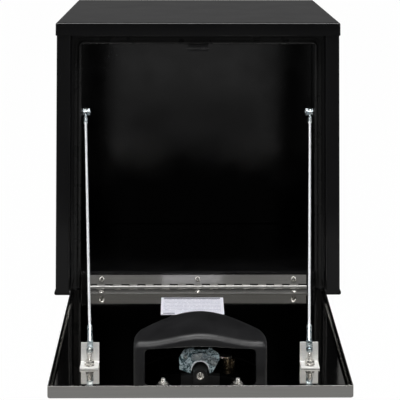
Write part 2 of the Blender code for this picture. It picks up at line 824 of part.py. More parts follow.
def add_stays(assembly):
    for side, name in ((-1, "left"), (1, "right")):
        line = StayLine(side)
        assembly.add(f"{name}_anchor_tab", anchor_tab(side), "black_paint")
        assembly.add(f"{name}_anchor_bolt", anchor_bolt(side), "zinc")
        assembly.add_to_door(f"{name}_stay_bracket", stay_bracket(side), "stainless_satin")
        assembly.add_to_door(f"{name}_bracket_stud", bracket_stud(side), "bright_steel")
        assembly.add_to_door(f"{name}_stay_bolt", stay_bolt(side), "zinc")
        assembly.add_to_door(f"{name}_rope_sleeve", rope_sleeve(side), "zinc")
        assembly.add(f"{name}_rope_eye", rope_eye(line), "zinc", line.anchor)
        eye_end = EYE_LENGTH + GAP
        upper = rope_link(line, 0, UPPER_FOLD, eye_end, FOLD_SPACE)
        assembly.add(f"{name}_rope_1", upper, "rope", line.anchor)
        upper_end = rope_link(line, UPPER_FOLD, MIDDLE, FOLD_SPACE, MIDDLE_SPACE)
        assembly.add(f"{name}_rope_2", upper_end, "rope", line.at(UPPER_FOLD))
        lower_end = rope_link(line, MIDDLE, LOWER_FOLD, MIDDLE_SPACE, FOLD_SPACE)
        assembly.add(f"{name}_rope_3", lower_end, "rope", line.at(LOWER_FOLD))
        lower = rope_link(line, LOWER_FOLD, 1, FOLD_SPACE, GAP)
        assembly.add(f"{name}_rope_4", lower, "rope", line.at(LOWER_FOLD))


# ---------------------------------------------------------------- the latch

def guard_section(x, shrink):
    """The guard's outline at one x, as (distance from the pin, height); shrink moves it inward."""
    share = min(abs(x) / GUARD_SIDE, 1.0)
    corner = 6.0 * MM * max(0.0, (share - 0.9) / 0.1) ** 2
    back = GUARD_BACK_S + GUARD_SWEEP * share ** 3 + corner + shrink
    crown = 0.0
    if abs(x) < GUARD_CROWN_SIDE:
        crown = GUARD_CROWN * math.cos(math.pi * x / GUARD_CROWN_SIDE / 2) ** 2
    top = GUARD_SIDE_HEIGHT + crown - corner / 2 - shrink
    front = GUARD_FRONT_S - shrink
    base = SHEET + GAP
    flare = 8.0 * MM * (1 - share)
    bottom = base if shrink == 0 else base - 5 * MM
    return [
        (front, bottom),
        (back - flare, bottom),
        (back - flare * 0.5, top * 0.4),
        (back, top - 20 * MM),
        (back + 2 * MM, top - 12 * MM),
        (back + 8 * MM, top - 6.5 * MM),
        (back + 17 * MM, top - 3.5 * MM),
        (front, top),
    ]


def guard_form(shrink):
    stations = 22
    shape = bmesh.new()
    rings = []
    for i in range(stations + 1):
        angle = -math.pi / 2 + math.pi * i / stations
        x = (GUARD_SIDE - shrink) * math.sin(angle)
        rings.append([shape.verts.new((x, s, h)) for s, h in guard_section(x, shrink)])
    join_rings(shape, rings)
    return shape


def window_outline():
    """The guard's opening: square corners a little rounded, and a top edge that rises to the middle."""
    corner = WINDOW_CORNER
    points = arc((-WINDOW_SIDE + corner, WINDOW_LOW + corner), corner, 180, 270, 3)
    points += arc((WINDOW_SIDE - corner, WINDOW_LOW + corner), corner, 270, 360, 3)
    points += arc((WINDOW_SIDE - corner, WINDOW_HIGH - corner), corner, 0, 80, 3)
    steps = 12
    reach = WINDOW_SIDE - 2 * corner
    for i in range(steps + 1):
        x = reach - 2 * reach * i / steps
        points.append((x, WINDOW_HIGH + WINDOW_CROWN * math.cos(math.pi * x / reach / 2) ** 2))
    points += arc((-WINDOW_SIDE + corner, WINDOW_HIGH - corner), corner, 100, 180, 3)
    return points


def latch_guard():
    """A moulded hood, open to the front, with two feet that take the studs."""
    window = prism(window_outline(), "y", GUARD_FRONT_S - 10 * MM, GUARD_FRONT_S + 10 * MM)
    shape = cut(guard_form(0), guard_form(GUARD_WALL), window)
    feet = []
    base = SHEET + GAP
    for side in (-1, 1):
        x = side * GUARD_STUD_X
        half = 9 * MM
        outline = [(x - half, GUARD_FRONT_S - 2 * MM), (x + half, GUARD_FRONT_S - 2 * MM)]
        outline += arc((x, GUARD_STUD_S), half, 0, 180, 8)
        feet.append(prism(outline, "z", base, base + GUARD_FOOT))
    holes = []
    for side in (-1, 1):
        x = side * GUARD_STUD_X
        holes.append(rod((x, GUARD_STUD_S, 0), (x, GUARD_STUD_S, 12 * MM), 3.4 * MM))
    return cut(unite(shape, *feet), *holes)


def guard_nut(side):
    base = (side * GUARD_STUD_X, GUARD_STUD_S, 0)
    sections = [
        (1.8, 3.0, "round"),
        (8.8, 3.0, "round"),
        (8.8, 7.4, "round"),
        (9.8, 7.4, "round"),
        (10.0, 5.8, "hex"),
        (15.0, 5.8, "hex"),
        (15.4, 5.0, "round"),
        (15.4, 3.0, "round"),
        (19.2, 3.0, "round"),
        (20.0, 2.3, "round"),
    ]
    return stack(base, UP, scaled(sections))


def bolt_housing():
    """The bolt's barrel on its foot, with a spring seat behind it."""
    barrel = rod((0, BARREL_BACK_S, BOLT_HEIGHT), (0, BARREL_FRONT_S, BOLT_HEIGHT), BARREL_RADIUS, 24)
    base = SHEET + GAP
    foot = block((-9.4 * MM, BARREL_BACK_S, base), (9.4 * MM, 366 * MM, BOLT_HEIGHT))
    beam = block((-26 * MM, BARREL_BACK_S, base), (26 * MM, 356 * MM, 13 * MM))
    seat = block(
        (-10.5 * MM, SPRING_SEAT_S, 11.2 * MM), (10.5 * MM, SPRING_SEAT_S + 2 * MM, 26 * MM)
    )
    arms = [
        block(
            (side * 9.5 * MM - MM, SPRING_SEAT_S, 11.2 * MM),
            (side * 9.5 * MM + MM, BARREL_BACK_S + MM, 24 * MM),
        )
        for side in (-1, 1)
    ]
    shape = unite(barrel, foot, beam, seat, *arms)
    bore = rod((0, BARREL_BACK_S - MM, BOLT_HEIGHT), (0, 366 * MM, BOLT_HEIGHT), 7.9 * MM, 24)
    mouth = rod((0, 360 * MM, BOLT_HEIGHT), (0, 370 * MM, BOLT_HEIGHT), BOLT_RADIUS + 0.4 * MM, 24)
    tail_end = (0, SPRING_SEAT_S + 3 * MM, BOLT_HEIGHT)
    tail = rod((0, SPRING_SEAT_S - MM, BOLT_HEIGHT), tail_end, 3.9 * MM, 16)
    return cut(shape, bore, mouth, tail)


def latch_bolt():
    """The bolt drawn back flush with its barrel, with a collar for its spring and a socket in its end."""
    sections = [
        (330.0, 3.5, "round"),
        (349.6, 3.5, "round"),
        (349.6, 7.4, "round"),
        (351.4, 7.4, "round"),
        (351.4, 5.2, "round"),
        (367.4, 5.2, "round"),
        (368.0, 4.7, "round"),
        (368.0, 2.2, "round"),
        (362.0, 2.0, "round"),
    ]
    return stack((0, 0, BOLT_HEIGHT), (0, 1, 0), scaled(sections), 20)


def coil(centre, axis, u, radius, length, turns, wire):
    """A helix of wire around an axis from a centre."""
    steps = 10 * turns
    v = axis.cross(u)
    points = []
    for i in range(steps + 1):
        angle = 2 * math.pi * i / 10
        reach = (u * math.cos(angle) + v * math.sin(angle)) * radius
        points.append(centre + axis * (length * i / steps) + reach)
    return sweep(points, wire, 5)


def bolt_spring():
    start = Vector((0, SPRING_SEAT_S + 3.4 * MM, BOLT_HEIGHT))
    return coil(start, Vector((0, 1, 0)), Vector((1, 0, 0)), 5.6 * MM, 10.6 * MM, 4, 0.6 * MM)


def latch_plate():
    """The plated cheek that straddles the barrel: a rim round its arch, its top edge bent forward."""
    outline = [(26, 33), (25, 41), (14, 49.5), (-10, 49.5), (-22, 46.5), (-28.5, 36), (-28, 20), (-13, 14.2)]
    outline = [(x * MM, h * MM) for x, h in outline]
    face = LATCH_PLATE_S
    centre = (0, ARCH_HEIGHT)
    outline += arc(centre, ARCH_RADIUS, 180, 0, 12)
    outline += [(13 * MM, 14.2 * MM), (17 * MM, 16.5 * MM)]
    shape = prism(outline, "y", face, face + 2 * MM)
    band = arc(centre, ARCH_RADIUS, 178, 2, 12) + arc(centre, ARCH_RADIUS + ARCH_RIM, 2, 178, 12)
    rim = prism(band, "y", face + MM, face + 4.6 * MM)
    brow = block((-9 * MM, face + MM, 47.5 * MM), (11 * MM, face + 9 * MM, 49.5 * MM))
    pivot = rod((LEVER_X, face - MM, LEVER_HEIGHT), (LEVER_X, face + 3 * MM, LEVER_HEIGHT), 2.8 * MM)
    rivet_end = (RIVET_X, face + 3 * MM, PLATE_RIVET_HEIGHT)
    rivet = rod((RIVET_X, face - MM, PLATE_RIVET_HEIGHT), rivet_end, 2.3 * MM)
    return cut(unite(shape, rim, brow), pivot, rivet)


def lever_pivot():
    base = (LEVER_X, LATCH_PLATE_S, LEVER_HEIGHT)
    sections = [
        (-2.2, 4.2, "round"),
        (-0.3, 4.2, "round"),
        (-0.3, 2.4, "round"),
        (4.9, 2.4, "round"),
        (4.9, 4.4, "round"),
        (6.0, 4.0, "round"),
        (6.2, 2.4, "round"),
        (5.4, 1.6, "round"),
    ]
    return stack(base, (0, 1, 0), scaled(sections), 16)


def plate_rivet():
    base = (RIVET_X, LATCH_PLATE_S, PLATE_RIVET_HEIGHT)
    sections = [
        (-1.8, 3.2, "round"),
        (-0.3, 3.2, "round"),
        (-0.3, 1.9, "round"),
        (2.3, 1.9, "round"),
        (2.3, 3.2, "round"),
        (3.4, 2.4, "round"),
        (3.8, 1.0, "round"),
    ]
    return stack(base, (0, 1, 0), scaled(sections))


def release_lever():
    """The lever that the paddle lifts: an arm over the barrel with a hooked end."""
    outline = arc((LEVER_X, LEVER_HEIGHT), 6 * MM, 60, -120, 8)
    outline += [(9 * MM, 33 * MM), (-4 * MM, 34 * MM), (-10 * MM, 33 * MM), (-13 * MM, 36 * MM)]
    outline += [(-11 * MM, 41 * MM), (2 * MM, 43 * MM), (14 * MM, 40 * MM)]
    low = LATCH_PLATE_S + 2.3 * MM
    shape = prism(outline, "y", low, low + 2 * MM)
    hole = rod((LEVER_X, low - MM, LEVER_HEIGHT), (LEVER_X, low + 3 * MM, LEVER_HEIGHT), 2.8 * MM)
    return cut(shape, hole)


def handle_dish():
    """The outer pocket: a flange on the skin's outer face and a pocket through it, open outward."""
    rim = rounded_rectangle((-64 * MM, 278 * MM), (64 * MM, 356 * MM), 14 * MM)
    flange = prism(rim, "z", -GAP - DISH_WALL, -GAP)
    outer = pocket_outline(POCKET_SIDE, POCKET_BACK_S, POCKET_FRONT_S, POCKET_CORNER)
    body = prism(outer, "z", -MM, POCKET_TOP)
    hollow = pocket_outline(
        POCKET_SIDE - DISH_WALL,
        POCKET_BACK_S + DISH_WALL,
        POCKET_FRONT_S - DISH_WALL,
        POCKET_CORNER - DISH_WALL,
    )
    inside = prism(hollow, "z", -5 * MM, POCKET_TOP - DISH_WALL)
    lock_hole = rod((LOCK_X, LOCK_S, 5 * MM), (LOCK_X, LOCK_S, 15 * MM), 9.9 * MM, 24)
    return cut(unite(flange, body), inside, lock_hole)


def paddle_handle():
    """The paddle with two ears on its pin; its free edge leaves room for fingers."""
    plate = block((PADDLE_LEFT, 309 * MM, -0.2 * MM), (PADDLE_RIGHT, 340 * MM, 1.5 * MM))
    ears = []
    for x in (PADDLE_LEFT, PADDLE_RIGHT - 3 * MM):
        inner = x + 3 * MM
        near = PADDLE_PIN_S - PADDLE_EAR_RADIUS
        far = PADDLE_PIN_S + PADDLE_EAR_RADIUS
        ears.append(block((x, near, MM), (inner, far, PADDLE_PIN_HEIGHT)))
        ears.append(paddle_axle(x, inner, PADDLE_EAR_RADIUS))
    bore = paddle_axle(PADDLE_LEFT - MM, PADDLE_RIGHT + MM, PADDLE_BORE_RADIUS)
    return cut(unite(plate, *ears), bore)


def paddle_axle(start, end, radius):
    """A rod on the paddle's axis between two values of x."""
    near = (start, PADDLE_PIN_S, PADDLE_PIN_HEIGHT)
    return rod(near, (end, PADDLE_PIN_S, PADDLE_PIN_HEIGHT), radius)


def paddle_lugs():
    """The bracket inside the pocket that carries the paddle's pin, outside both ears."""
    top = POCKET_TOP - DISH_WALL - GAP
    near = PADDLE_PIN_S - 4 * MM
    far = PADDLE_PIN_S + 4 * MM
    lugs = []
    for x in (PADDLE_LEFT - 2.4 * MM, PADDLE_RIGHT + 0.4 * MM):
        lugs.append(block((x, near, 1.6 * MM), (x + 2 * MM, far, top)))
    low_x = PADDLE_LEFT - 2.4 * MM
    high_x = PADDLE_RIGHT + 2.4 * MM
    bridge = block((low_x, near, top - 0.9 * MM), (high_x, far, top))
    return cut(unite(bridge, *lugs), paddle_axle(low_x - MM, high_x + MM, PADDLE_BORE_RADIUS))


def paddle_pin():
    return paddle_axle(PADDLE_LEFT - 2.8 * MM, PADDLE_RIGHT + 2.8 * MM, 1.4 * MM)


def paddle_spring():
    start = Vector((-20 * MM, PADDLE_PIN_S, PADDLE_PIN_HEIGHT))
    return coil(start, Vector((1, 0, 0)), UP, 1.95 * MM, 12 * MM, 4, 0.35 * MM)


def lock_cylinder():
    sections = [
        (0.6, 11.5, "round"),
        (2.4, 12.0, "round"),
        (8.9, 12.0, "round"),
        (8.9, 9.5, "round"),
        (26.0, 9.5, "round"),
    ]
    shape = stack((LOCK_X, LOCK_S, 0), UP, scaled(sections), 24)
    return cut(shape, rod((LOCK_X, LOCK_S, 0), (LOCK_X, LOCK_S, 30 * MM), 5.9 * MM, 20))


def lock_plug():
    """The plug with its keyway outside and its cam inside."""
    x = LOCK_X
    s = LOCK_S
    plug = rod((x, s, 1.0 * MM), (x, s, 28.4 * MM), 5.5 * MM, 20)
    cam = block((x - 17 * MM, s - 4.5 * MM, 26.4 * MM), (x + 5 * MM, s + 4.5 * MM, 28.4 * MM))
    keyway = block((x - 0.8 * MM, s - 3.6 * MM, 0), (x + 0.8 * MM, s + 3.6 * MM, 5 * MM))
    return cut(unite(plug, cam), keyway)


def add_latch(assembly):
    on = assembly.add_to_door
    on("latch_guard", latch_guard(), "guard_plastic")
    on("guard_nut_left", guard_nut(-1), "bright_steel")
    on("guard_nut_right", guard_nut(1), "bright_steel")
    on("bolt_housing", bolt_housing(), "barrel_plastic")
    on("latch_bolt", latch_bolt(), "bright_steel", (0, BARREL_FRONT_S, BOLT_HEIGHT))
    on("bolt_spring", bolt_spring(), "bright_steel")
    on("latch_plate", latch_plate(), "zinc")
    on("lever_pivot", lever_pivot(), "zinc")
    on("plate_rivet", plate_rivet(), "zinc")
    on("release_lever", release_lever(), "zinc", (LEVER_X, LATCH_PLATE_S, LEVER_HEIGHT))
    on("handle_dish", handle_dish(), "black_paint")
    on("paddle_handle", paddle_handle(), "stainless_satin", (0, PADDLE_PIN_S, PADDLE_PIN_HEIGHT))
    on("paddle_lugs", paddle_lugs(), "zinc")
    on("paddle_pin", paddle_pin(), "bright_steel")
    on("paddle_spring", paddle_spring(), "bright_steel")
    on("lock_cylinder", lock_cylinder(), "brass")
    on("lock_plug", lock_plug(), "bright_steel", (LOCK_X, LOCK_S, 0))


def main():
    clear_scene()
    assembly = Assembly()
    add_box(assembly)
    add_hinge(assembly)
    assembly.add_to_door("door_skin", door_skin(), "stainless_mirror")
    assembly.add_to_door("care_label", care_label(), "label")
    add_stays(assembly)
    add_latch(assembly)


main()
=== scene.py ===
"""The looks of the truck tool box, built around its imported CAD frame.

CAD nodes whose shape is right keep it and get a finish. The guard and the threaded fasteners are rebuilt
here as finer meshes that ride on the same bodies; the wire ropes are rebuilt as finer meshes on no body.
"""
import json
import math

import bmesh
import bpy
from mathutils import Matrix, Vector

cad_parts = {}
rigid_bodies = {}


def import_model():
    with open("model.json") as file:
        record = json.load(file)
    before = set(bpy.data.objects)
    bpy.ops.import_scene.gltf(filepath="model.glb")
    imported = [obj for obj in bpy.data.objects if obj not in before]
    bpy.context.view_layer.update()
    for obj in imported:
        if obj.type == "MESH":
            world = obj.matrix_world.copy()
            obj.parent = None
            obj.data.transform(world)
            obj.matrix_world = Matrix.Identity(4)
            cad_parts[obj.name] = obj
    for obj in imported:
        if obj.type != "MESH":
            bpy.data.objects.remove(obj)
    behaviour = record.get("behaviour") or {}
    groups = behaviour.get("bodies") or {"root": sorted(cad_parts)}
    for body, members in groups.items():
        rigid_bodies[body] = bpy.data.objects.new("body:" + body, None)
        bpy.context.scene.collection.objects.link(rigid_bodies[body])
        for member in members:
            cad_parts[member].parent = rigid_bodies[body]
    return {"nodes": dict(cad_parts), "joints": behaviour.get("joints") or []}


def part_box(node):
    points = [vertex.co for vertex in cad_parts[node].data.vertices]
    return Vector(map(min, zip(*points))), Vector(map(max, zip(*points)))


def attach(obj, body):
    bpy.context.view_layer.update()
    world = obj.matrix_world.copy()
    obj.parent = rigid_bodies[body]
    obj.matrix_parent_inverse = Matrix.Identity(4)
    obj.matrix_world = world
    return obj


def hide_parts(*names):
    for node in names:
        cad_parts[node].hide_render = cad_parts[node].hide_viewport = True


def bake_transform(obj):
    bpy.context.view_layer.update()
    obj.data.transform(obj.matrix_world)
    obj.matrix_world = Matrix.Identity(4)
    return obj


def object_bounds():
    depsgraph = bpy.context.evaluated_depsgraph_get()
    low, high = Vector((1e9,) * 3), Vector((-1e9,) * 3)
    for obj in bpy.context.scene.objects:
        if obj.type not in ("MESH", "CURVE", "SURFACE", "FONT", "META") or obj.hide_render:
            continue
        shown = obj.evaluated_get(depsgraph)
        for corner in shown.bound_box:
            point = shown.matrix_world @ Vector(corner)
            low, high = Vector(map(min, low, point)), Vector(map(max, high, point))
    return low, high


MM = 0.001

# How the door lies at rest: heights on it are measured from its outer face, s from the hinge pin.
PIN_ABOVE_SKIN = 6.4 * MM

# Where the latch plate stands on the door, and how high its arch is centred.
LATCH_PLATE_S = 349 * MM
ARCH_HEIGHT = 20.5 * MM

# The camera, fitted to the object's outline: a long lens raised above the box and shifted down.
CAMERA_SIDE = -21.3 * MM
CAMERA_DISTANCE = 2159.1 * MM
CAMERA_HEIGHT = 644.4 * MM
CAMERA_YAW = 0.011
CAMERA_PITCH = 0.0294
CAMERA_ROLL = 0.0015
CAMERA_LENS = 120.03
CAMERA_SHIFT = -0.8655

# The studio as mirrors see it: the world behind and in front, and the floor. The floor glows there as painted
# light:
# bright right under the door's edge, dark in a strip before that, and bright again in a wedge that widens
# forward.
OVERHEAD_POWER = 40
SIDE_POWER = 13
FRONT_POWER = 14
FITTING_WORDS = ("stay", "bracket", "guard", "latch", "bolt", "lock", "label", "rope")
BACK_STRENGTH = 0.11
FRONT_STRENGTH = 0.025
BELOW_STRENGTH = 0.4
FLOOR_NEAR = 0.30
FLOOR_STRIP = 0.02
FLOOR_WEDGE = 0.17
FLOOR_SIDES = 0.12
WEDGE_HALF_WIDTH = 0.141
WEDGE_SLOPE = 0.054


# ---------------------------------------------------------------- the frame

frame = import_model()
cad_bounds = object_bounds()
JOINTS = {joint["name"]: joint for joint in frame["joints"]}
PIN = Vector(JOINTS["door_hinge"]["pos_m"])
LEVER_AXIS = JOINTS["release_lever_turn"]["axis"]
DOOR_TILT = math.atan2(LEVER_AXIS[2], LEVER_AXIS[1])
DOOR_TURN = Matrix.Rotation(DOOR_TILT, 3, "X")


def on_door(x, s, height):
    """Door coordinates to the frame: s runs from the pin towards the door's front edge."""
    return PIN + DOOR_TURN @ Vector((x, -s, height - PIN_ABOVE_SKIN))


def door_direction(x, s, height):
    return DOOR_TURN @ Vector((x, -s, height))


def node_points(name):
    return [vert.co.copy() for vert in frame["nodes"][name].data.vertices]


def axis_span(name, axis):
    """Where a node sits along an axis: the point of its lowest end on its centre line, and its length."""
    points = node_points(name)
    low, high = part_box(name)
    centre = (low + high) / 2
    reach = [(point - centre).dot(axis) for point in points]
    return centre + axis * min(reach), max(reach) - min(reach)


# ---------------------------------------------------------------- building meshes

def new_piece(name, mesh, material, body, replaced=()):
    piece = bpy.data.objects.new(name, mesh)
    bpy.context.scene.collection.objects.link(piece)
    mesh.materials.clear()
    mesh.materials.append(material)
    if body:
        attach(piece, body)
    if replaced:
        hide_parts(*replaced)
    return piece


def mesh_from(shape, name, sharp=None):
    bmesh.ops.recalc_face_normals(shape, faces=shape.faces)
    mesh = bpy.data.meshes.new(name)
    shape.to_mesh(mesh)
    shape.free()
    mesh.shade_smooth()
    if sharp:
        mesh.set_sharp_from_angle(angle=math.radians(sharp))
    return mesh


def join_rings(shape, rings, ends=True):
    """Quads between each ring of vertices and the next, and a face on each end."""
    count = len(rings[0])
    for first, second in zip(rings, rings[1:]):
        for i in range(count):
            j = (i + 1) % count
            shape.faces.new((first[i], first[j], second[j], second[i]))
    if ends:
        shape.faces.new(rings[0])
        shape.faces.new(rings[-1])


def add_rings(shape, rings, ends=True):
    join_rings(shape, [[shape.verts.new(point) for point in ring] for ring in rings], ends)


def rounded_outline(low, high, radius, steps=6):
    """A rectangle with rounded corners as a list of two coordinates."""
    corners = ((high[0], high[1], 0), (low[0], high[1], 90), (low[0], low[1], 180), (high[0], low[1], 270))
    points = []
    for x, y, start in corners:
        centre_x = x + (radius if x == low[0] else -radius)
        centre_y = y + (radius if y == low[1] else -radius)
        for i in range(steps + 1):
            angle = math.radians(start + 90 * i / steps)
            points.append((centre_x + radius * math.cos(angle), centre_y + radius * math.sin(angle)))
    return points


def apply_modifiers(mesh, settings):
    """The mesh after a list of (kind, settings) modifiers."""
    worker = bpy.data.objects.new("worker", mesh)
    bpy.context.scene.collection.objects.link(worker)
    for kind, values in settings:
        modifier = worker.modifiers.new(kind, kind)
        for key, value in values.items():
            setattr(modifier, key, value)
    bpy.context.view_layer.update()
    result = bpy.data.meshes.new_from_object(worker.evaluated_get(bpy.context.evaluated_depsgraph_get()))
    bpy.data.objects.remove(worker, do_unlink=True)
    return result


def boolean(mesh, tools, operation):
    """Cuts each tool mesh from a mesh, or unites them with it."""
    for tool in tools:
        helper = bpy.data.objects.new("helper", tool)
        bpy.context.scene.collection.objects.link(helper)
        values = {"operation": operation, "solver": "EXACT", "object": helper}
        mesh = apply_modifiers(mesh, [("BOOLEAN", values)])
        bpy.data.objects.remove(helper, do_unlink=True)
    return mesh


# ---------------------------------------------------------------- finishes

class Finish:
    """One procedural material, with short names for the nodes that the finishes below share."""

    def __init__(self, name):
        self.material = bpy.data.materials.new(name + "_finish")
        self.material.use_nodes = True
        self.tree = self.material.node_tree
        self.shader = self.tree.nodes["Principled BSDF"]
        self.place = self.add("ShaderNodeTexCoord").outputs["Object"]
        self.normal = None

    def add(self, kind, **settings):
        node = self.tree.nodes.new(kind)
        for key, value in settings.items():
            setattr(node, key, value)
        return node

    def feed(self, socket, value):
        if isinstance(value, bpy.types.NodeSocket):
            self.tree.links.new(value, socket)
        elif isinstance(value, tuple) and len(value) == 3 and socket.type == "RGBA":
            socket.default_value = (*value, 1.0)
        else:
            socket.default_value = value

    def set(self, **inputs):
        for key, value in inputs.items():
            self.feed(self.shader.inputs[key.replace("_", " ")], value)

    def stretched(self, x, y, z):
        node = self.add("ShaderNodeVectorMath", operation="MULTIPLY")
        self.feed(node.inputs[0], self.place)
        node.inputs[1].default_value = (x, y, z)
        return node.outputs[0]

    def noise(self, scale, detail=2.0, vector=None, distortion=0.0):
        node = self.add("ShaderNodeTexNoise")
        self.feed(node.inputs["Vector"], vector or self.place)
        node.inputs["Scale"].default_value = scale
        node.inputs["Detail"].default_value = detail
        node.inputs["Distortion"].default_value = distortion
        return node.outputs["Fac"]

    def ramp(self, value, low, high, start, end):
        node = self.add("ShaderNodeMapRange")
        self.feed(node.inputs["Value"], value)
        for key, number in (("From Min", low), ("From Max", high), ("To Min", start), ("To Max", end)):
            node.inputs[key].default_value = number
        return node.outputs["Result"]

    def math(self, operation, a, b=0.5):
        node = self.add("ShaderNodeMath", operation=operation)
        self.feed(node.inputs[0], a)
        self.feed(node.inputs[1], b)
        return node.outputs[0]

    def both(self, a, b):
        return self.math("MULTIPLY", a, b)

    def between(self, value, low, high):
        """1 where the value lies between the two limits, and 0 elsewhere."""
        return self.both(self.math("GREATER_THAN", value, low), self.math("LESS_THAN", value, high))

    def blend(self, share, first, second):
        node = self.add("ShaderNodeMix", data_type="RGBA")
        self.feed(node.inputs["Factor"], share)
        self.feed(node.inputs["A"], first)
        self.feed(node.inputs["B"], second)
        return node.outputs["Result"]

    def bump(self, height, distance, strength=1.0):
        """Adds relief of a given depth in metres to what is there already."""
        node = self.add("ShaderNodeBump")
        node.inputs["Strength"].default_value = strength
        node.inputs["Distance"].default_value = distance
        self.feed(node.inputs["Height"], height)
        if self.normal:
            self.feed(node.inputs["Normal"], self.normal)
        self.normal = node.outputs["Normal"]
        self.feed(self.shader.inputs["Normal"], self.normal)

    def facing_up(self):
        """1 where the surface faces up, 0 elsewhere."""
        split = self.add("ShaderNodeSeparateXYZ")
        self.feed(split.inputs[0], self.add("ShaderNodeNewGeometry").outputs["Normal"])
        return self.ramp(split.outputs["Z"], 0.7, 0.98, 0.0, 1.0)

    def axis(self, name):
        split = self.add("ShaderNodeSeparateXYZ")
        self.feed(split.inputs[0], self.place)
        return split.outputs[name]


def black_paint(name, sheen):
    """Gloss powder coat: orange peel, slow waves in the sheet, and a little dust on what faces up."""
    finish = Finish(name)
    cloud = finish.noise(18, 4)
    specks = finish.ramp(finish.noise(900, 2), 0.62, 0.72, 0.0, 1.0)
    dust = finish.math("MULTIPLY", finish.facing_up(), finish.ramp(cloud, 0.35, 0.7, 0.25, 1.0))
    coat = finish.blend(cloud, (0.0035, 0.0035, 0.0038), (0.0065, 0.0065, 0.007))
    dusty = finish.blend(finish.math("MULTIPLY", dust, 0.35), coat, (0.035, 0.035, 0.036))
    speck_share = finish.math("MULTIPLY", finish.math("MULTIPLY", specks, dust), 0.5)
    finish.set(
        Base_Color=finish.blend(speck_share, dusty, (0.12, 0.12, 0.12)),
        Roughness=finish.ramp(cloud, 0.3, 0.7, 0.13, 0.21),
        Specular_IOR_Level=sheen,
    )
    finish.bump(finish.noise(6, 1), 0.0009)
    finish.bump(finish.noise(430, 1), 0.000012)
    return finish.material


def brushed(name, low, high, roughness, metallic=1.0, painted_shade_up=0.0):
    """Metal with a grain along X and a drifting tone; what faces up can be darkened as painted shade."""
    finish = Finish(name)
    lines = finish.noise(1.0, 3, finish.stretched(6, 900, 900))
    smears = finish.noise(9, 1)
    tone = finish.math("ADD", finish.math("MULTIPLY", lines, 0.75), finish.math("MULTIPLY", smears, 0.25))
    colour = finish.blend(finish.ramp(tone, 0.3, 0.7, 0.0, 1.0), low, high)
    # Painted shade: up-facing faces are darkened in colour, standing in for the dark reflection a flat leaf
    # shows.
    if painted_shade_up:
        share = finish.math("MULTIPLY", finish.facing_up(), painted_shade_up)
        colour = finish.blend(share, colour, (0.04, 0.04, 0.038))
    finish.set(
        Base_Color=colour,
        Metallic=metallic,
        Roughness=finish.ramp(smears, 0.3, 0.7, roughness - 0.03, roughness + 0.03),
    )
    finish.bump(lines, 0.00001)
    return finish.material


def mirror_stainless():
    """Mirror-polished sheet: fine polish lines, a slow wave and a few smudges."""
    finish = Finish("mirror_stainless")
    lines = finish.noise(1.0, 2, finish.stretched(8, 700, 700))
    smears = finish.noise(15, 4, distortion=0.6)
    finish.set(
        Base_Color=finish.blend(lines, (0.53, 0.52, 0.50), (0.62, 0.605, 0.58)),
        Metallic=1.0,
        Roughness=finish.ramp(smears, 0.35, 0.75, 0.035, 0.085),
    )
    finish.bump(finish.noise(9, 1), 0.00025)
    finish.bump(lines, 0.0000012)
    return finish.material


def zinc_plate():
    """Blue-passivated zinc: patchy blue and straw tints over a dull bright metal."""
    finish = Finish("zinc_plate")
    patches = finish.noise(160, 4, distortion=1.2)
    stain = finish.noise(60, 3)
    blue = finish.blend(finish.ramp(patches, 0.35, 0.65, 0.0, 1.0), (0.30, 0.38, 0.42), (0.78, 0.84, 0.86))
    finish.set(
        Base_Color=finish.blend(finish.ramp(stain, 0.5, 0.75, 0.0, 0.35), blue, (0.70, 0.66, 0.52)),
        Metallic=0.8,
        Roughness=finish.ramp(patches, 0.3, 0.7, 0.20, 0.38),
    )
    finish.bump(finish.noise(700, 2), 0.00002)
    return finish.material


def part_painted(name, reach):
    """Zinc near the middle of the box; beyond a distance from it the piece was painted with the body."""
    finish = Finish(name)
    painted = finish.ramp(finish.math("ABSOLUTE", finish.axis("X")), reach, reach + 0.6 * MM, 0.0, 1.0)
    tone = finish.blend(finish.noise(160, 4, distortion=1.2), (0.34, 0.40, 0.44), (0.74, 0.80, 0.82))
    finish.set(
        Base_Color=finish.blend(painted, tone, (0.006, 0.006, 0.0065)),
        Metallic=finish.ramp(painted, 0.0, 1.0, 0.9, 0.0),
        Roughness=finish.ramp(finish.noise(300, 2), 0.3, 0.7, 0.22, 0.34),
    )
    finish.bump(finish.noise(700, 2), 0.00002)
    return finish.material


def latch_zinc():
    """The latch plate's zinc: dark and blotchy where it was pressed, with a painted highlight as a bright
    ring round the arch.
    """
    finish = Finish("latch_zinc")
    arch = on_door(0, LATCH_PLATE_S, ARCH_HEIGHT)
    offset = finish.add("ShaderNodeVectorMath", operation="SUBTRACT")
    finish.feed(offset.inputs[0], finish.place)
    offset.inputs[1].default_value = arch
    rise = finish.add("ShaderNodeVectorMath", operation="DOT_PRODUCT")
    finish.feed(rise.inputs[0], offset.outputs[0])
    rise.inputs[1].default_value = door_direction(0, 0, 1)
    across = finish.math("POWER", finish.axis("X"), 2.0)
    radius = finish.math("SQRT", finish.math("ADD", across, finish.math("POWER", rise.outputs["Value"], 2.0)))
    # Painted highlight: a bright ring of colour round the arch, standing in for light caught on its rim.
    painted_rim_highlight = finish.ramp(radius, 12.3 * MM, 13.0 * MM, 1.0, 0.0)
    blotches = finish.ramp(finish.noise(210, 4, distortion=1.5), 0.44, 0.60, 0.0, 1.0)
    dull = finish.blend(blotches, (0.05, 0.10, 0.115), (0.55, 0.66, 0.70))
    finish.set(
        Base_Color=finish.blend(painted_rim_highlight, dull, (0.85, 0.90, 0.92)),
        Metallic=0.35,
        Roughness=finish.ramp(blotches, 0.0, 1.0, 0.22, 0.40),
    )
    finish.bump(blotches, 0.00006)
    return finish.material


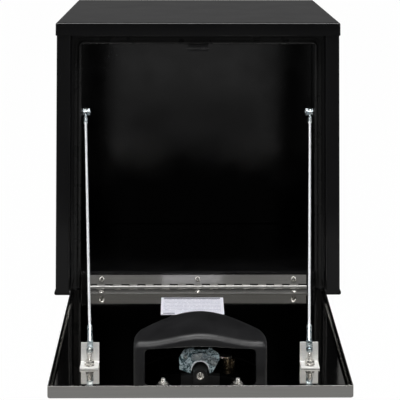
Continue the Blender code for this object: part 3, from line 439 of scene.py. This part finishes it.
def bright_steel():
    finish = Finish("bright_steel")
    wear = finish.noise(240, 3)
    finish.set(
        Base_Color=finish.blend(wear, (0.66, 0.63, 0.58), (0.90, 0.89, 0.86)),
        Metallic=0.85,
        Roughness=finish.ramp(wear, 0.3, 0.7, 0.16, 0.32),
    )
    finish.bump(finish.noise(1200, 2), 0.000008)
    return finish.material


def wire_rope():
    """Galvanised wire: a pale, slightly uneven metal."""
    finish = Finish("wire_rope")
    tone = finish.noise(420, 3)
    finish.set(
        Base_Color=finish.blend(tone, (0.52, 0.54, 0.56), (0.86, 0.87, 0.88)),
        Metallic=0.45,
        Roughness=finish.ramp(tone, 0.3, 0.7, 0.32, 0.5),
    )
    finish.bump(finish.noise(1500, 2), 0.00003)
    return finish.material


def moulded(name, low, high, roughness, grain_scale, grain_depth):
    """Moulded plastic or rubber with a fine grain and a slow drift in gloss."""
    finish = Finish(name)
    grain = finish.noise(grain_scale, 2)
    drift = finish.noise(30, 3)
    finish.set(
        Base_Color=finish.blend(drift, low, high),
        Roughness=finish.ramp(drift, 0.3, 0.7, roughness - 0.06, roughness + 0.06),
        Specular_IOR_Level=0.5,
    )
    finish.bump(grain, grain_depth)
    return finish.material


def lock_brass():
    finish = Finish("lock_brass")
    wear = finish.noise(300, 3)
    finish.set(
        Base_Color=finish.blend(wear, (0.14, 0.10, 0.06), (0.46, 0.35, 0.22)),
        Metallic=1.0,
        Roughness=finish.ramp(wear, 0.3, 0.7, 0.16, 0.32),
    )
    finish.bump(finish.noise(1100, 2), 0.00001)
    return finish.material


LABEL_ROWS = 12.0


def label_paper():
    """A pale printed label: a dark heading bar, grey rules in place of words, and a short dark bar."""
    finish = Finish("label_paper")
    low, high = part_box("care_label")
    across = finish.ramp(finish.axis("X"), low.x, high.x, 0.0, 1.0)
    down = finish.ramp(finish.axis("Y"), high.y, low.y, 0.0, 1.0)
    row = finish.math("FRACT", finish.math("MULTIPLY", down, LABEL_ROWS))
    words = finish.noise(1.0, 2, finish.stretched(330, 220, 0))
    broken = finish.both(finish.between(row, 0.42, 0.84), finish.ramp(words, 0.38, 0.48, 0.0, 1.0))
    inside = finish.between(across, 0.04, 0.95)
    rules = finish.both(finish.both(broken, inside), finish.between(down, 0.12, 0.88))
    heading = finish.between(down, 0.015, 0.095)
    foot = finish.both(finish.between(down, 0.91, 0.96), finish.math("LESS_THAN", across, 0.22))
    bars = finish.both(finish.math("MAXIMUM", heading, foot), inside)
    paper = finish.blend(finish.noise(60, 3), (0.74, 0.74, 0.82), (0.84, 0.84, 0.90))
    printed = finish.blend(finish.math("MULTIPLY", rules, 0.6), paper, (0.30, 0.31, 0.40))
    finish.set(
        Base_Color=finish.blend(finish.math("MULTIPLY", bars, 0.85), printed, (0.05, 0.05, 0.08)),
        Roughness=finish.ramp(finish.noise(80, 2), 0.3, 0.7, 0.35, 0.48),
        Coat_Weight=0.3,
        Coat_Roughness=0.2,
    )
    finish.bump(finish.noise(500, 2), 0.00001)
    return finish.material


def grey(value, warmth=0.0):
    return (value, value, value + warmth)


def make_finishes():
    steel = brushed("satin_stainless", (0.70, 0.695, 0.68), (0.92, 0.915, 0.89), 0.45, 0.3)
    # The hinge's up-facing faces get painted shade, for the dark reflection its flat leaf shows.
    hinge = brushed("hinge_steel", (0.39, 0.385, 0.37), (0.53, 0.52, 0.50), 0.22, 0.5, painted_shade_up=0.8)
    guard = moulded("guard_plastic", grey(0.006, 0.0005), grey(0.010, 0.001), 0.42, 1400, 0.00002)
    return {
        "black_paint": black_paint("black_paint", 0.42),
        "back_panel": black_paint("back_panel", 1.5),
        "mirror_stainless": mirror_stainless(),
        "satin_stainless": steel,
        "hinge_steel": hinge,
        "left_anchor_bolt": part_painted("left_anchor_bolt", 0.187),
        "right_anchor_bolt": part_painted("right_anchor_bolt", 0.187),
        "zinc_plate": zinc_plate(),
        "latch_plate": latch_zinc(),
        "bright_steel": bright_steel(),
        "wire_rope": wire_rope(),
        "seal_rubber": moulded("seal_rubber", grey(0.016), grey(0.026), 0.30, 900, 0.00002),
        "guard_plastic": guard,
        "barrel_plastic": moulded("barrel_plastic", grey(0.002), grey(0.005), 0.5, 1200, 0.00002),
        "lock_brass": lock_brass(),
        "label_paper": label_paper(),
    }


# ---------------------------------------------------------------- CAD nodes that stay

EDGE_ROUNDING = {"care_label": 0.05 * MM, "paddle_spring": 0, "bolt_spring": 0}
DEFAULT_ROUNDING = 0.3 * MM


def dress_cad_nodes(finishes):
    """Gives each CAD node its finish, small rounded edges and smooth shading. Its mesh stays as it is."""
    for name, node in frame["nodes"].items():
        for slot in node.material_slots:
            slot.material = finishes.get(name) or finishes[slot.material.name]
        weld = node.modifiers.new("weld", "WELD")
        weld.merge_threshold = 0.00001
        planar = node.modifiers.new("planar", "DECIMATE")
        planar.decimate_type = "DISSOLVE"
        planar.angle_limit = math.radians(0.4)
        width = EDGE_ROUNDING.get(name, DEFAULT_ROUNDING)
        if width:
            bevel = node.modifiers.new("edges", "BEVEL")
            bevel.width = width
            bevel.segments = 2
            bevel.limit_method = "ANGLE"
            bevel.angle_limit = math.radians(32)
        normals = node.modifiers.new("normals", "WEIGHTED_NORMAL")
        normals.keep_sharp = False


# ---------------------------------------------------------------- fasteners

RING_POINTS = 48


def circle_ring(height, radius):
    return [(height, radius)] * RING_POINTS


def hex_radius(i, flats):
    angle = 2 * math.pi * i / RING_POINTS
    return flats / 2 / math.cos((angle % (math.pi / 3)) - math.pi / 6)


def nut_rings(low, high, flats, bore):
    """A hexagon with both ends turned to a chamfer, and the start of the thread in its upper face."""
    inner = flats / 2 * 0.95
    lower = []
    upper = []
    for i in range(RING_POINTS):
        radius = hex_radius(i, flats)
        drop = (radius - inner) * math.tan(math.radians(30))
        lower.append((low + drop, radius))
        upper.append((high - drop, radius))
    rings = [circle_ring(low, inner), lower, upper, circle_ring(high, inner)]
    rings.append(circle_ring(high, bore * 1.12))
    rings.append(circle_ring(high - 0.12 * bore, bore))
    return rings


def thread_rings(low, high, radius, pitch):
    """A helical thread between two heights, with a chamfered end."""
    rings = []
    steps = max(4, round((high - low) / pitch * 6))
    depth = pitch * 0.5
    for k in range(steps + 1):
        height = low + (high - low) * k / steps
        ring = []
        for i in range(RING_POINTS):
            phase = (height / pitch - i / RING_POINTS) % 1.0
            groove = 1 - abs(2 * phase - 1)
            room = radius - max(0.0, height - (high - 0.8 * pitch)) * 0.8
            ring.append((height, min(radius - depth * groove, room)))
        rings.append(ring)
    return rings


def fastener(name, base, axis, rings, material, body, replaced):
    """A turned piece along an axis. A ring is a list of (height, radius) around it."""
    u = axis.orthogonal().normalized()
    v = axis.cross(u)
    shape = bmesh.new()
    loops = []
    for ring in rings:
        loop = []
        for i, (height, radius) in enumerate(ring):
            angle = 2 * math.pi * i / RING_POINTS
            loop.append(base + axis * height + (u * math.cos(angle) + v * math.sin(angle)) * radius)
        loops.append(loop)
    add_rings(shape, loops)
    return new_piece(name, mesh_from(shape, name, 32), material, body, replaced)


def flanged_stud(node, finishes, flange_low, nut_high):
    """A flange nut run down on a threaded stud, standing on the door."""
    up = door_direction(0, 0, 1)
    base, length = axis_span(node, up)
    flange_top = flange_low + 1.1 * MM
    rings = [circle_ring(0, 3.0 * MM), circle_ring(flange_low, 3.0 * MM)]
    rings += [circle_ring(flange_low, 7.0 * MM), circle_ring(flange_low + 0.3 * MM, 7.3 * MM)]
    rings += [circle_ring(flange_top, 7.1 * MM), circle_ring(flange_top + 0.5 * MM, 5.8 * MM)]
    rings += nut_rings(flange_top + 0.6 * MM, nut_high, 11.2 * MM, 3.0 * MM)
    rings += thread_rings(nut_high, length, 3.0 * MM, 1.0 * MM)
    fastener(node + "_threaded", base, up, rings, finishes["bright_steel"], "door", [node])


def build_studs(finishes):
    for side in ("left", "right"):
        flanged_stud(f"{side}_bracket_stud", finishes, 2.3 * MM, 8.6 * MM)
        flanged_stud(f"guard_nut_{side}", finishes, 7.0 * MM, 13.2 * MM)


def build_stay_bolts(finishes):
    """The bolt through each bracket: a hexagon head behind, a nut and a thread end in front."""
    for side in ("left", "right"):
        node = f"{side}_stay_bolt"
        axis = door_direction(0, 1, 0)
        base, length = axis_span(node, axis)
        rings = [ring for ring in nut_rings(0, 3.6 * MM, 8.8 * MM, 2.5 * MM)][:4]
        rings += [circle_ring(3.6 * MM, 2.5 * MM), circle_ring(8.9 * MM, 2.5 * MM)]
        rings += nut_rings(8.9 * MM, 12.6 * MM, 9.2 * MM, 2.4 * MM)
        rings += thread_rings(12.6 * MM, length, 2.4 * MM, 0.8 * MM)
        fastener(node + "_threaded", base, axis, rings, finishes["zinc_plate"], "door", [node])


# ---------------------------------------------------------------- welds

BEAD_RADIUS = 1.3 * MM
BEAD_PITCH = 2.6 * MM


def weld_bead(name, start, end, radius, finishes):
    """A painted weld: a bar whose surface swells and narrows a little at every ripple."""
    span = end - start
    along = span.normalized()
    u = along.orthogonal().normalized()
    v = along.cross(u)
    steps = round(span.length / BEAD_PITCH * 3)
    rings = []
    for k in range(steps + 1):
        swell = radius * (0.9 + 0.1 * math.cos(2 * math.pi * k / 3))
        centre = start + span * k / steps
        ring = []
        for i in range(8):
            angle = 2 * math.pi * i / 8
            ring.append(centre + (u * math.cos(angle) + v * math.sin(angle)) * swell)
        rings.append(ring)
    shape = bmesh.new()
    add_rings(shape, rings)
    new_piece(name, mesh_from(shape, name), finishes["black_paint"], "box")


def build_welds(finishes):
    """Beads that close the box's inner corners, and a short one under the cap at each front corner."""
    low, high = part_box("back_panel")
    panel_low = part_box("left_side_panel")[0]
    cap_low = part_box("top_cover")[0]
    inside = high.x + 0.3 * MM
    back = low.y
    floor = low.z
    roof = high.z
    for side, name in ((-1, "left"), (1, "right")):
        x = side * inside
        foot = Vector((x, back, floor))
        weld_bead(f"{name}_back_weld", foot, Vector((x, back, roof)), BEAD_RADIUS, finishes)
        front = Vector((x, panel_low.y + 30 * MM, floor))
        weld_bead(f"{name}_floor_weld", foot, front, BEAD_RADIUS, finishes)
        near = Vector((side * 208 * MM, panel_low.y - 0.2 * MM, cap_low.z - 0.9 * MM))
        far = near + Vector((side * 18 * MM, 0, 0))
        weld_bead(f"{name}_cap_weld", near, far, 0.8 * MM, finishes)
    left, right = Vector((-inside, back, floor)), Vector((inside, back, floor))
    weld_bead("back_floor_weld", left, right, BEAD_RADIUS, finishes)


# ---------------------------------------------------------------- the wire ropes

STRANDS = 6
ROPE_RADIUS = 2.0 * MM
ROPE_LAY = 17 * MM
UPPER_FOLD = 0.39
LOWER_FOLD = 0.61
MIDDLE = 0.5
EYE_LENGTH = 22 * MM


def rope_mesh(name, start, end):
    """Six strands twisted around a core, as one closed surface."""
    span = end - start
    length = span.length
    along = span.normalized()
    u = along.orthogonal().normalized()
    v = along.cross(u)
    points = STRANDS * 6
    steps = round(length / (1.1 * MM))
    rings = []
    for k in range(steps + 1):
        distance = length * k / steps
        twist = 2 * math.pi * distance / ROPE_LAY
        ring = []
        for i in range(points):
            angle = 2 * math.pi * i / points
            lobe = abs(math.sin(STRANDS * angle / 2))
            radius = ROPE_RADIUS * (0.80 + 0.20 * lobe)
            turned = angle + twist
            ring.append(start + along * distance + (u * math.cos(turned) + v * math.sin(turned)) * radius)
        rings.append(ring)
    shape = bmesh.new()
    add_rings(shape, rings)
    return mesh_from(shape, name, 50)


def build_ropes(finishes):
    """Each rope is two straight halves that meet in the middle."""
    for side in ("left", "right"):
        anchor = Vector(JOINTS[f"{side}_stay_eye"]["pos_m"])
        lower_fold = Vector(JOINTS[f"{side}_stay_lower_fold"]["pos_m"])
        line = (lower_fold - anchor) / LOWER_FOLD
        middle = anchor + line * MIDDLE
        top = anchor + line.normalized() * (EYE_LENGTH - 4 * MM)
        halves = (
            ("upper", top, middle + line.normalized() * 0.8 * MM, f"{side}_rope_upper", f"{side}_rope_middle",
             UPPER_FOLD, [f"{side}_rope_1", f"{side}_rope_2"]),
            ("lower", anchor + line, middle - line.normalized() * 0.8 * MM, "door", f"{side}_rope_lower",
             LOWER_FOLD, [f"{side}_rope_3", f"{side}_rope_4"]),
        )
        for half, start, end, first, second, fold, replaced in halves:
            name = f"{side}_wire_rope_{half}"
            mesh = rope_mesh(name, start, end)
            piece = new_piece(name, mesh, finishes["wire_rope"], None, replaced)
            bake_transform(piece)


# ---------------------------------------------------------------- the latch guard

# The brow behind the guard's top: how far each point lies ahead of the back, and below the top, in mm.
GUARD_BROW = ((0.6, 15.5), (2.0, 12.0), (4.4, 8.9), (8.0, 6.4), (12.3, 4.7), (17.0, 3.5), (26.0, 2.2))
GUARD_SIDE = 89 * MM
GUARD_FRONT = 370 * MM
GUARD_BACK = 259 * MM
GUARD_SWEEP = 54 * MM
GUARD_SIDE_HEIGHT = 63.6 * MM
GUARD_CROWN = 10.4 * MM
GUARD_CROWN_SIDE = 76 * MM
GUARD_WALL = 2.5 * MM
GUARD_FOOT = 6.7 * MM
GUARD_ROLL = 9 * MM
GUARD_SIDE_ROUND = 5 * MM
GUARD_BASE = 1.8 * MM
GUARD_STUD_X = 49.6 * MM
GUARD_STUD_S = 380 * MM
WINDOW_SIDE = 73 * MM
WINDOW_LOW = 6 * MM
WINDOW_HIGH = 53.7 * MM
WINDOW_CROWN = 3.2 * MM


def guard_outline(x, shrink):
    """The guard's outline at one x, as (distance from the pin, height). Shrink moves it inward."""
    share = min(abs(x) / GUARD_SIDE, 1.0)
    corner = 6.0 * MM * max(0.0, (share - 0.9) / 0.1) ** 2
    back = GUARD_BACK + GUARD_SWEEP * share ** 3 + corner + shrink
    crown = 0.0
    if abs(x) < GUARD_CROWN_SIDE:
        crown = GUARD_CROWN * math.cos(math.pi * x / GUARD_CROWN_SIDE / 2) ** 2
    top = GUARD_SIDE_HEIGHT + crown - corner / 2 - shrink
    past = max(0.0, abs(x) + shrink - GUARD_SIDE + GUARD_SIDE_ROUND)
    front = GUARD_FRONT - shrink - GUARD_SIDE_ROUND + math.sqrt(max(0.0, GUARD_SIDE_ROUND ** 2 - past ** 2))
    flare = 8.0 * MM * (1 - share)
    bottom = GUARD_BASE if shrink == 0 else GUARD_BASE - 5 * MM
    points = [(front, bottom), (back - flare, bottom), (back - flare * 0.5, top * 0.4), (back, top - 20 * MM)]
    for ahead, drop in GUARD_BROW:
        points.append((back + ahead * MM, top - drop * MM))
    for i in range(6):
        angle = math.radians(18 * i)
        points.append((front - GUARD_ROLL * (1 - math.sin(angle)), top - GUARD_ROLL * (1 - math.cos(angle))))
    return points


def guard_form(shrink):
    stations = 48
    shape = bmesh.new()
    rings = []
    for i in range(stations + 1):
        angle = -math.pi / 2 + math.pi * i / stations
        x = (GUARD_SIDE - shrink) * math.sin(angle)
        rings.append([on_door(x, s, height) for s, height in guard_outline(x, shrink)])
    add_rings(shape, rings)
    return mesh_from(shape, "guard_form")


def door_prism(outline, low, high):
    """An outline in (x, s) pushed from one height to another."""
    shape = bmesh.new()
    add_rings(shape, [[on_door(x, s, height) for x, s in outline] for height in (low, high)])
    return mesh_from(shape, "door_prism")


def window_outline(flare):
    """The opening's outline as (x, height): rounded corners, and a top edge that rises to the middle."""
    reach = WINDOW_SIDE + flare
    points = []
    for x, height in rounded_outline((-reach, WINDOW_LOW - flare), (reach, WINDOW_HIGH + flare), 5.5 * MM, 8):
        points.append((x, height))
        if x > 0 and len(points) == 9:
            for i in range(1, 20):
                place = (reach - 5.5 * MM) * (1 - i / 10)
                rise = WINDOW_CROWN * math.cos(math.pi * place / reach / 2) ** 2
                points.append((place, WINDOW_HIGH + flare + rise))
    return points


def guard_window():
    """The front opening, flared towards the front so that its edge rolls inward."""
    flares = ((-12 * MM, 0.0), (-3.0 * MM, 0.0), (-1.0 * MM, 0.9 * MM), (3 * MM, 3.6 * MM))
    rings = []
    for depth, flare in flares:
        outline = window_outline(flare)
        rings.append([on_door(x, GUARD_FRONT + depth, height) for x, height in outline])
    shape = bmesh.new()
    add_rings(shape, rings)
    return mesh_from(shape, "guard_window")


def guard_foot(side, radius, low, high):
    x = side * GUARD_STUD_X
    outline = [(x - radius, GUARD_FRONT - 2 * MM), (x + radius, GUARD_FRONT - 2 * MM)]
    for i in range(13):
        angle = math.pi * i / 12
        outline.append((x + radius * math.cos(angle), GUARD_STUD_S + radius * math.sin(angle)))
    return door_prism(outline, low, high)


def stud_hole(side):
    x = side * GUARD_STUD_X
    outline = []
    for i in range(24):
        angle = 2 * math.pi * i / 24
        outline.append((x + 3.4 * MM * math.cos(angle), GUARD_STUD_S + 3.4 * MM * math.sin(angle)))
    return door_prism(outline, 0, 12 * MM)


def build_guard(finishes):
    """The hood over the latch: a thin moulding with softly rounded edges and two feet."""
    mesh = boolean(guard_form(0), [guard_form(GUARD_WALL), guard_window()], "DIFFERENCE")
    feet = [guard_foot(side, 9 * MM, GUARD_BASE, GUARD_BASE + GUARD_FOOT) for side in (-1, 1)]
    mesh = boolean(mesh, feet, "UNION")
    mesh = boolean(mesh, [stud_hole(side) for side in (-1, 1)], "DIFFERENCE")
    remesh = ("REMESH", {"mode": "VOXEL", "voxel_size": 1.0 * MM, "use_smooth_shade": True})
    smooth = ("SMOOTH", {"factor": 0.5, "iterations": 5})
    lighten = ("DECIMATE", {"decimate_type": "COLLAPSE", "ratio": 0.45})
    mesh = apply_modifiers(mesh, [remesh, smooth, lighten])
    mesh.shade_smooth()
    plastic = finishes["guard_plastic"]
    new_piece("latch_guard_moulding", mesh, plastic, "door", ["latch_guard"])


# ---------------------------------------------------------------- studio

def area_light(name, place, target, width, height, power, colour=(1, 1, 1)):
    light = bpy.data.lights.new(name, "AREA")
    light.shape = "RECTANGLE"
    light.size = width
    light.size_y = height
    light.energy = power
    light.color = colour
    lamp = bpy.data.objects.new(name, light)
    lamp.location = place
    lamp.rotation_euler = (Vector(target) - Vector(place)).to_track_quat("-Z", "Y").to_euler()
    bpy.context.scene.collection.objects.link(lamp)
    return lamp


def build_lights():
    """Soft light from above and both sides, and a low one that is kept to the fittings on the door."""
    area_light("overhead_softbox", (0, -0.8, 2.3), (0, -0.45, 0.1), 1.6, 0.8, OVERHEAD_POWER)
    area_light("left_softbox", (-1.9, -1.3, 1.1), (0, -0.35, 0.15), 0.7, 1.6, SIDE_POWER)
    area_light("right_softbox", (1.9, -1.3, 1.1), (0, -0.35, 0.15), 0.7, 1.6, SIDE_POWER)
    low = area_light("front_softbox", (0, -1.9, 1.1), (0, -0.5, 0.05), 0.9, 0.35, FRONT_POWER)
    fittings = bpy.data.collections.new("door_fittings")
    for thing in bpy.data.objects:
        if any(word in thing.name for word in FITTING_WORDS):
            fittings.objects.link(thing)
    low.light_linking.receiver_collection = fittings


class Shading(Finish):
    """The node shorthand on a world's or a floor's own tree."""

    def __init__(self, tree, coordinates):
        self.tree = tree
        tree.nodes.clear()
        self.place = self.add("ShaderNodeTexCoord").outputs[coordinates]
        self.camera_ray = self.add("ShaderNodeLightPath").outputs["Is Camera Ray"]

    def glow(self, kind, strength):
        node = self.add(kind)
        node.inputs["Color"].default_value = (1, 1, 1, 1)
        self.feed(node.inputs["Strength"], strength)
        return node.outputs[0]

    def choose(self, share, first, second):
        node = self.add("ShaderNodeMixShader")
        self.feed(node.inputs["Fac"], share)
        self.feed(node.inputs[1], first)
        self.feed(node.inputs[2], second)
        return node.outputs[0]

    def smooth(self, value, low, high, start, end):
        node = self.add("ShaderNodeMapRange", interpolation_type="SMOOTHSTEP")
        self.feed(node.inputs["Value"], value)
        for key, number in (("From Min", low), ("From Max", high), ("To Min", start), ("To Max", end)):
            node.inputs[key].default_value = number
        return node.outputs["Result"]

    def mix(self, share, first, second):
        node = self.add("ShaderNodeMix", data_type="FLOAT")
        self.feed(node.inputs[0], share)
        self.feed(node.inputs[2], first)
        self.feed(node.inputs[3], second)
        return node.outputs[0]

    def finish_with(self, kind, shader):
        self.tree.links.new(shader, self.add(kind).inputs["Surface"])


def build_world():
    """White where the camera looks past the object, a dim studio for everything else."""
    world = bpy.data.worlds.new("studio")
    bpy.context.scene.world = world
    world.use_nodes = True
    studio = Shading(world.node_tree, "Generated")
    depth = studio.smooth(studio.axis("Y"), -0.15, 0.15, FRONT_STRENGTH, BACK_STRENGTH)
    below = studio.smooth(studio.axis("Z"), -0.25, -0.1, 1.0, 0.0)
    dim = studio.glow("ShaderNodeBackground", studio.mix(below, depth, BELOW_STRENGTH))
    white = studio.glow("ShaderNodeBackground", 1.0)
    studio.finish_with("ShaderNodeOutputWorld", studio.choose(studio.camera_ray, dim, white))


def build_floor():
    """A pale floor just under the door: almost white to the camera, glowing in painted patches of light and
    shade in mirrors, clear from below.
    """
    material = bpy.data.materials.new("studio_floor")
    material.use_nodes = True
    paper = Shading(material.node_tree, "Object")
    y = paper.axis("Y")
    away = paper.math("ABSOLUTE", paper.axis("X"))
    spread = paper.math("MULTIPLY", paper.math("SUBTRACT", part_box("back_panel")[1].y, y), WEDGE_SLOPE)
    edge = paper.math("SUBTRACT", away, spread)
    inside = paper.smooth(edge, WEDGE_HALF_WIDTH - 0.02, WEDGE_HALF_WIDTH + 0.02, 1, 0)
    wedge = paper.smooth(y, -1.62, -1.36, FLOOR_WEDGE, FLOOR_STRIP)
    beyond = paper.mix(inside, FLOOR_SIDES, wedge)
    # Painted light: to all but camera rays the floor glows in patches, standing in for pools of studio light
    # and shade.
    lit = paper.glow("ShaderNodeEmission", paper.mix(paper.smooth(y, -0.80, -0.72, 0, 1), beyond, FLOOR_NEAR))
    matt = paper.add("ShaderNodeBsdfDiffuse")
    matt.inputs["Color"].default_value = (0.8, 0.8, 0.8, 1)
    seen = paper.choose(0.99, matt.outputs[0], paper.glow("ShaderNodeEmission", 1.0))
    above = paper.choose(paper.camera_ray, lit, seen)
    behind = paper.add("ShaderNodeNewGeometry").outputs["Backfacing"]
    clear = paper.add("ShaderNodeBsdfTransparent").outputs[0]
    paper.finish_with("ShaderNodeOutputMaterial", paper.choose(behind, above, clear))
    level = cad_bounds[0][2] - 0.5 * MM
    shape = bmesh.new()
    bmesh.ops.create_grid(shape, x_segments=1, y_segments=1, size=6.0)
    bmesh.ops.translate(shape, verts=shape.verts, vec=(0, 0, level))
    mesh = bpy.data.meshes.new("studio_floor")
    shape.to_mesh(mesh)
    shape.free()
    floor = bpy.data.objects.new("studio_floor", mesh)
    floor.data.materials.append(material)
    bpy.context.scene.collection.objects.link(floor)


def shift_only_here(camera):
    """Shifts the lens at the photographer's place alone; moved anywhere else, the camera looks straight."""
    spot = bpy.data.objects.new("photographer", None)
    spot.location = camera.matrix_world.translation
    bpy.context.scene.collection.objects.link(spot)
    curve = camera.data.driver_add("shift_y")
    curve.driver.type = "SUM"
    variable = curve.driver.variables.new()
    variable.type = "LOC_DIFF"
    variable.targets[0].id = camera
    variable.targets[1].id = spot
    for modifier in list(curve.modifiers):
        curve.modifiers.remove(modifier)
    curve.keyframe_points.clear()
    for distance, shift in ((0.0, CAMERA_SHIFT), (0.1, 0.0)):
        curve.keyframe_points.insert(distance, shift).interpolation = "LINEAR"


def build_camera():
    look = Vector((
        math.sin(CAMERA_YAW) * math.cos(CAMERA_PITCH),
        math.cos(CAMERA_YAW) * math.cos(CAMERA_PITCH),
        math.sin(CAMERA_PITCH),
    ))
    level = look.cross(Vector((0, 0, 1))).normalized()
    raised = level.cross(look)
    right = level * math.cos(CAMERA_ROLL) + raised * math.sin(CAMERA_ROLL)
    up = right.cross(look)
    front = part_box("left_side_panel")[0].y
    place = Vector((CAMERA_SIDE, front - CAMERA_DISTANCE, CAMERA_HEIGHT))
    data = bpy.data.cameras.new("camera")
    data.lens = CAMERA_LENS
    data.sensor_width = 36
    camera = bpy.data.objects.new("camera", data)
    camera.matrix_world = Matrix.Translation(place) @ Matrix((right, up, -look)).transposed().to_4x4()
    bpy.context.scene.collection.objects.link(camera)
    bpy.context.scene.camera = camera
    shift_only_here(camera)


def build_studio():
    bpy.context.scene.view_settings.view_transform = "Standard"
    build_world()
    build_floor()
    build_lights()
    build_camera()


# ---------------------------------------------------------------- everything


def main():
    finishes = make_finishes()
    dress_cad_nodes(finishes)
    build_studs(finishes)
    build_stay_bolts(finishes)
    build_welds(finishes)
    build_ropes(finishes)
    build_guard(finishes)
    build_studio()


main()
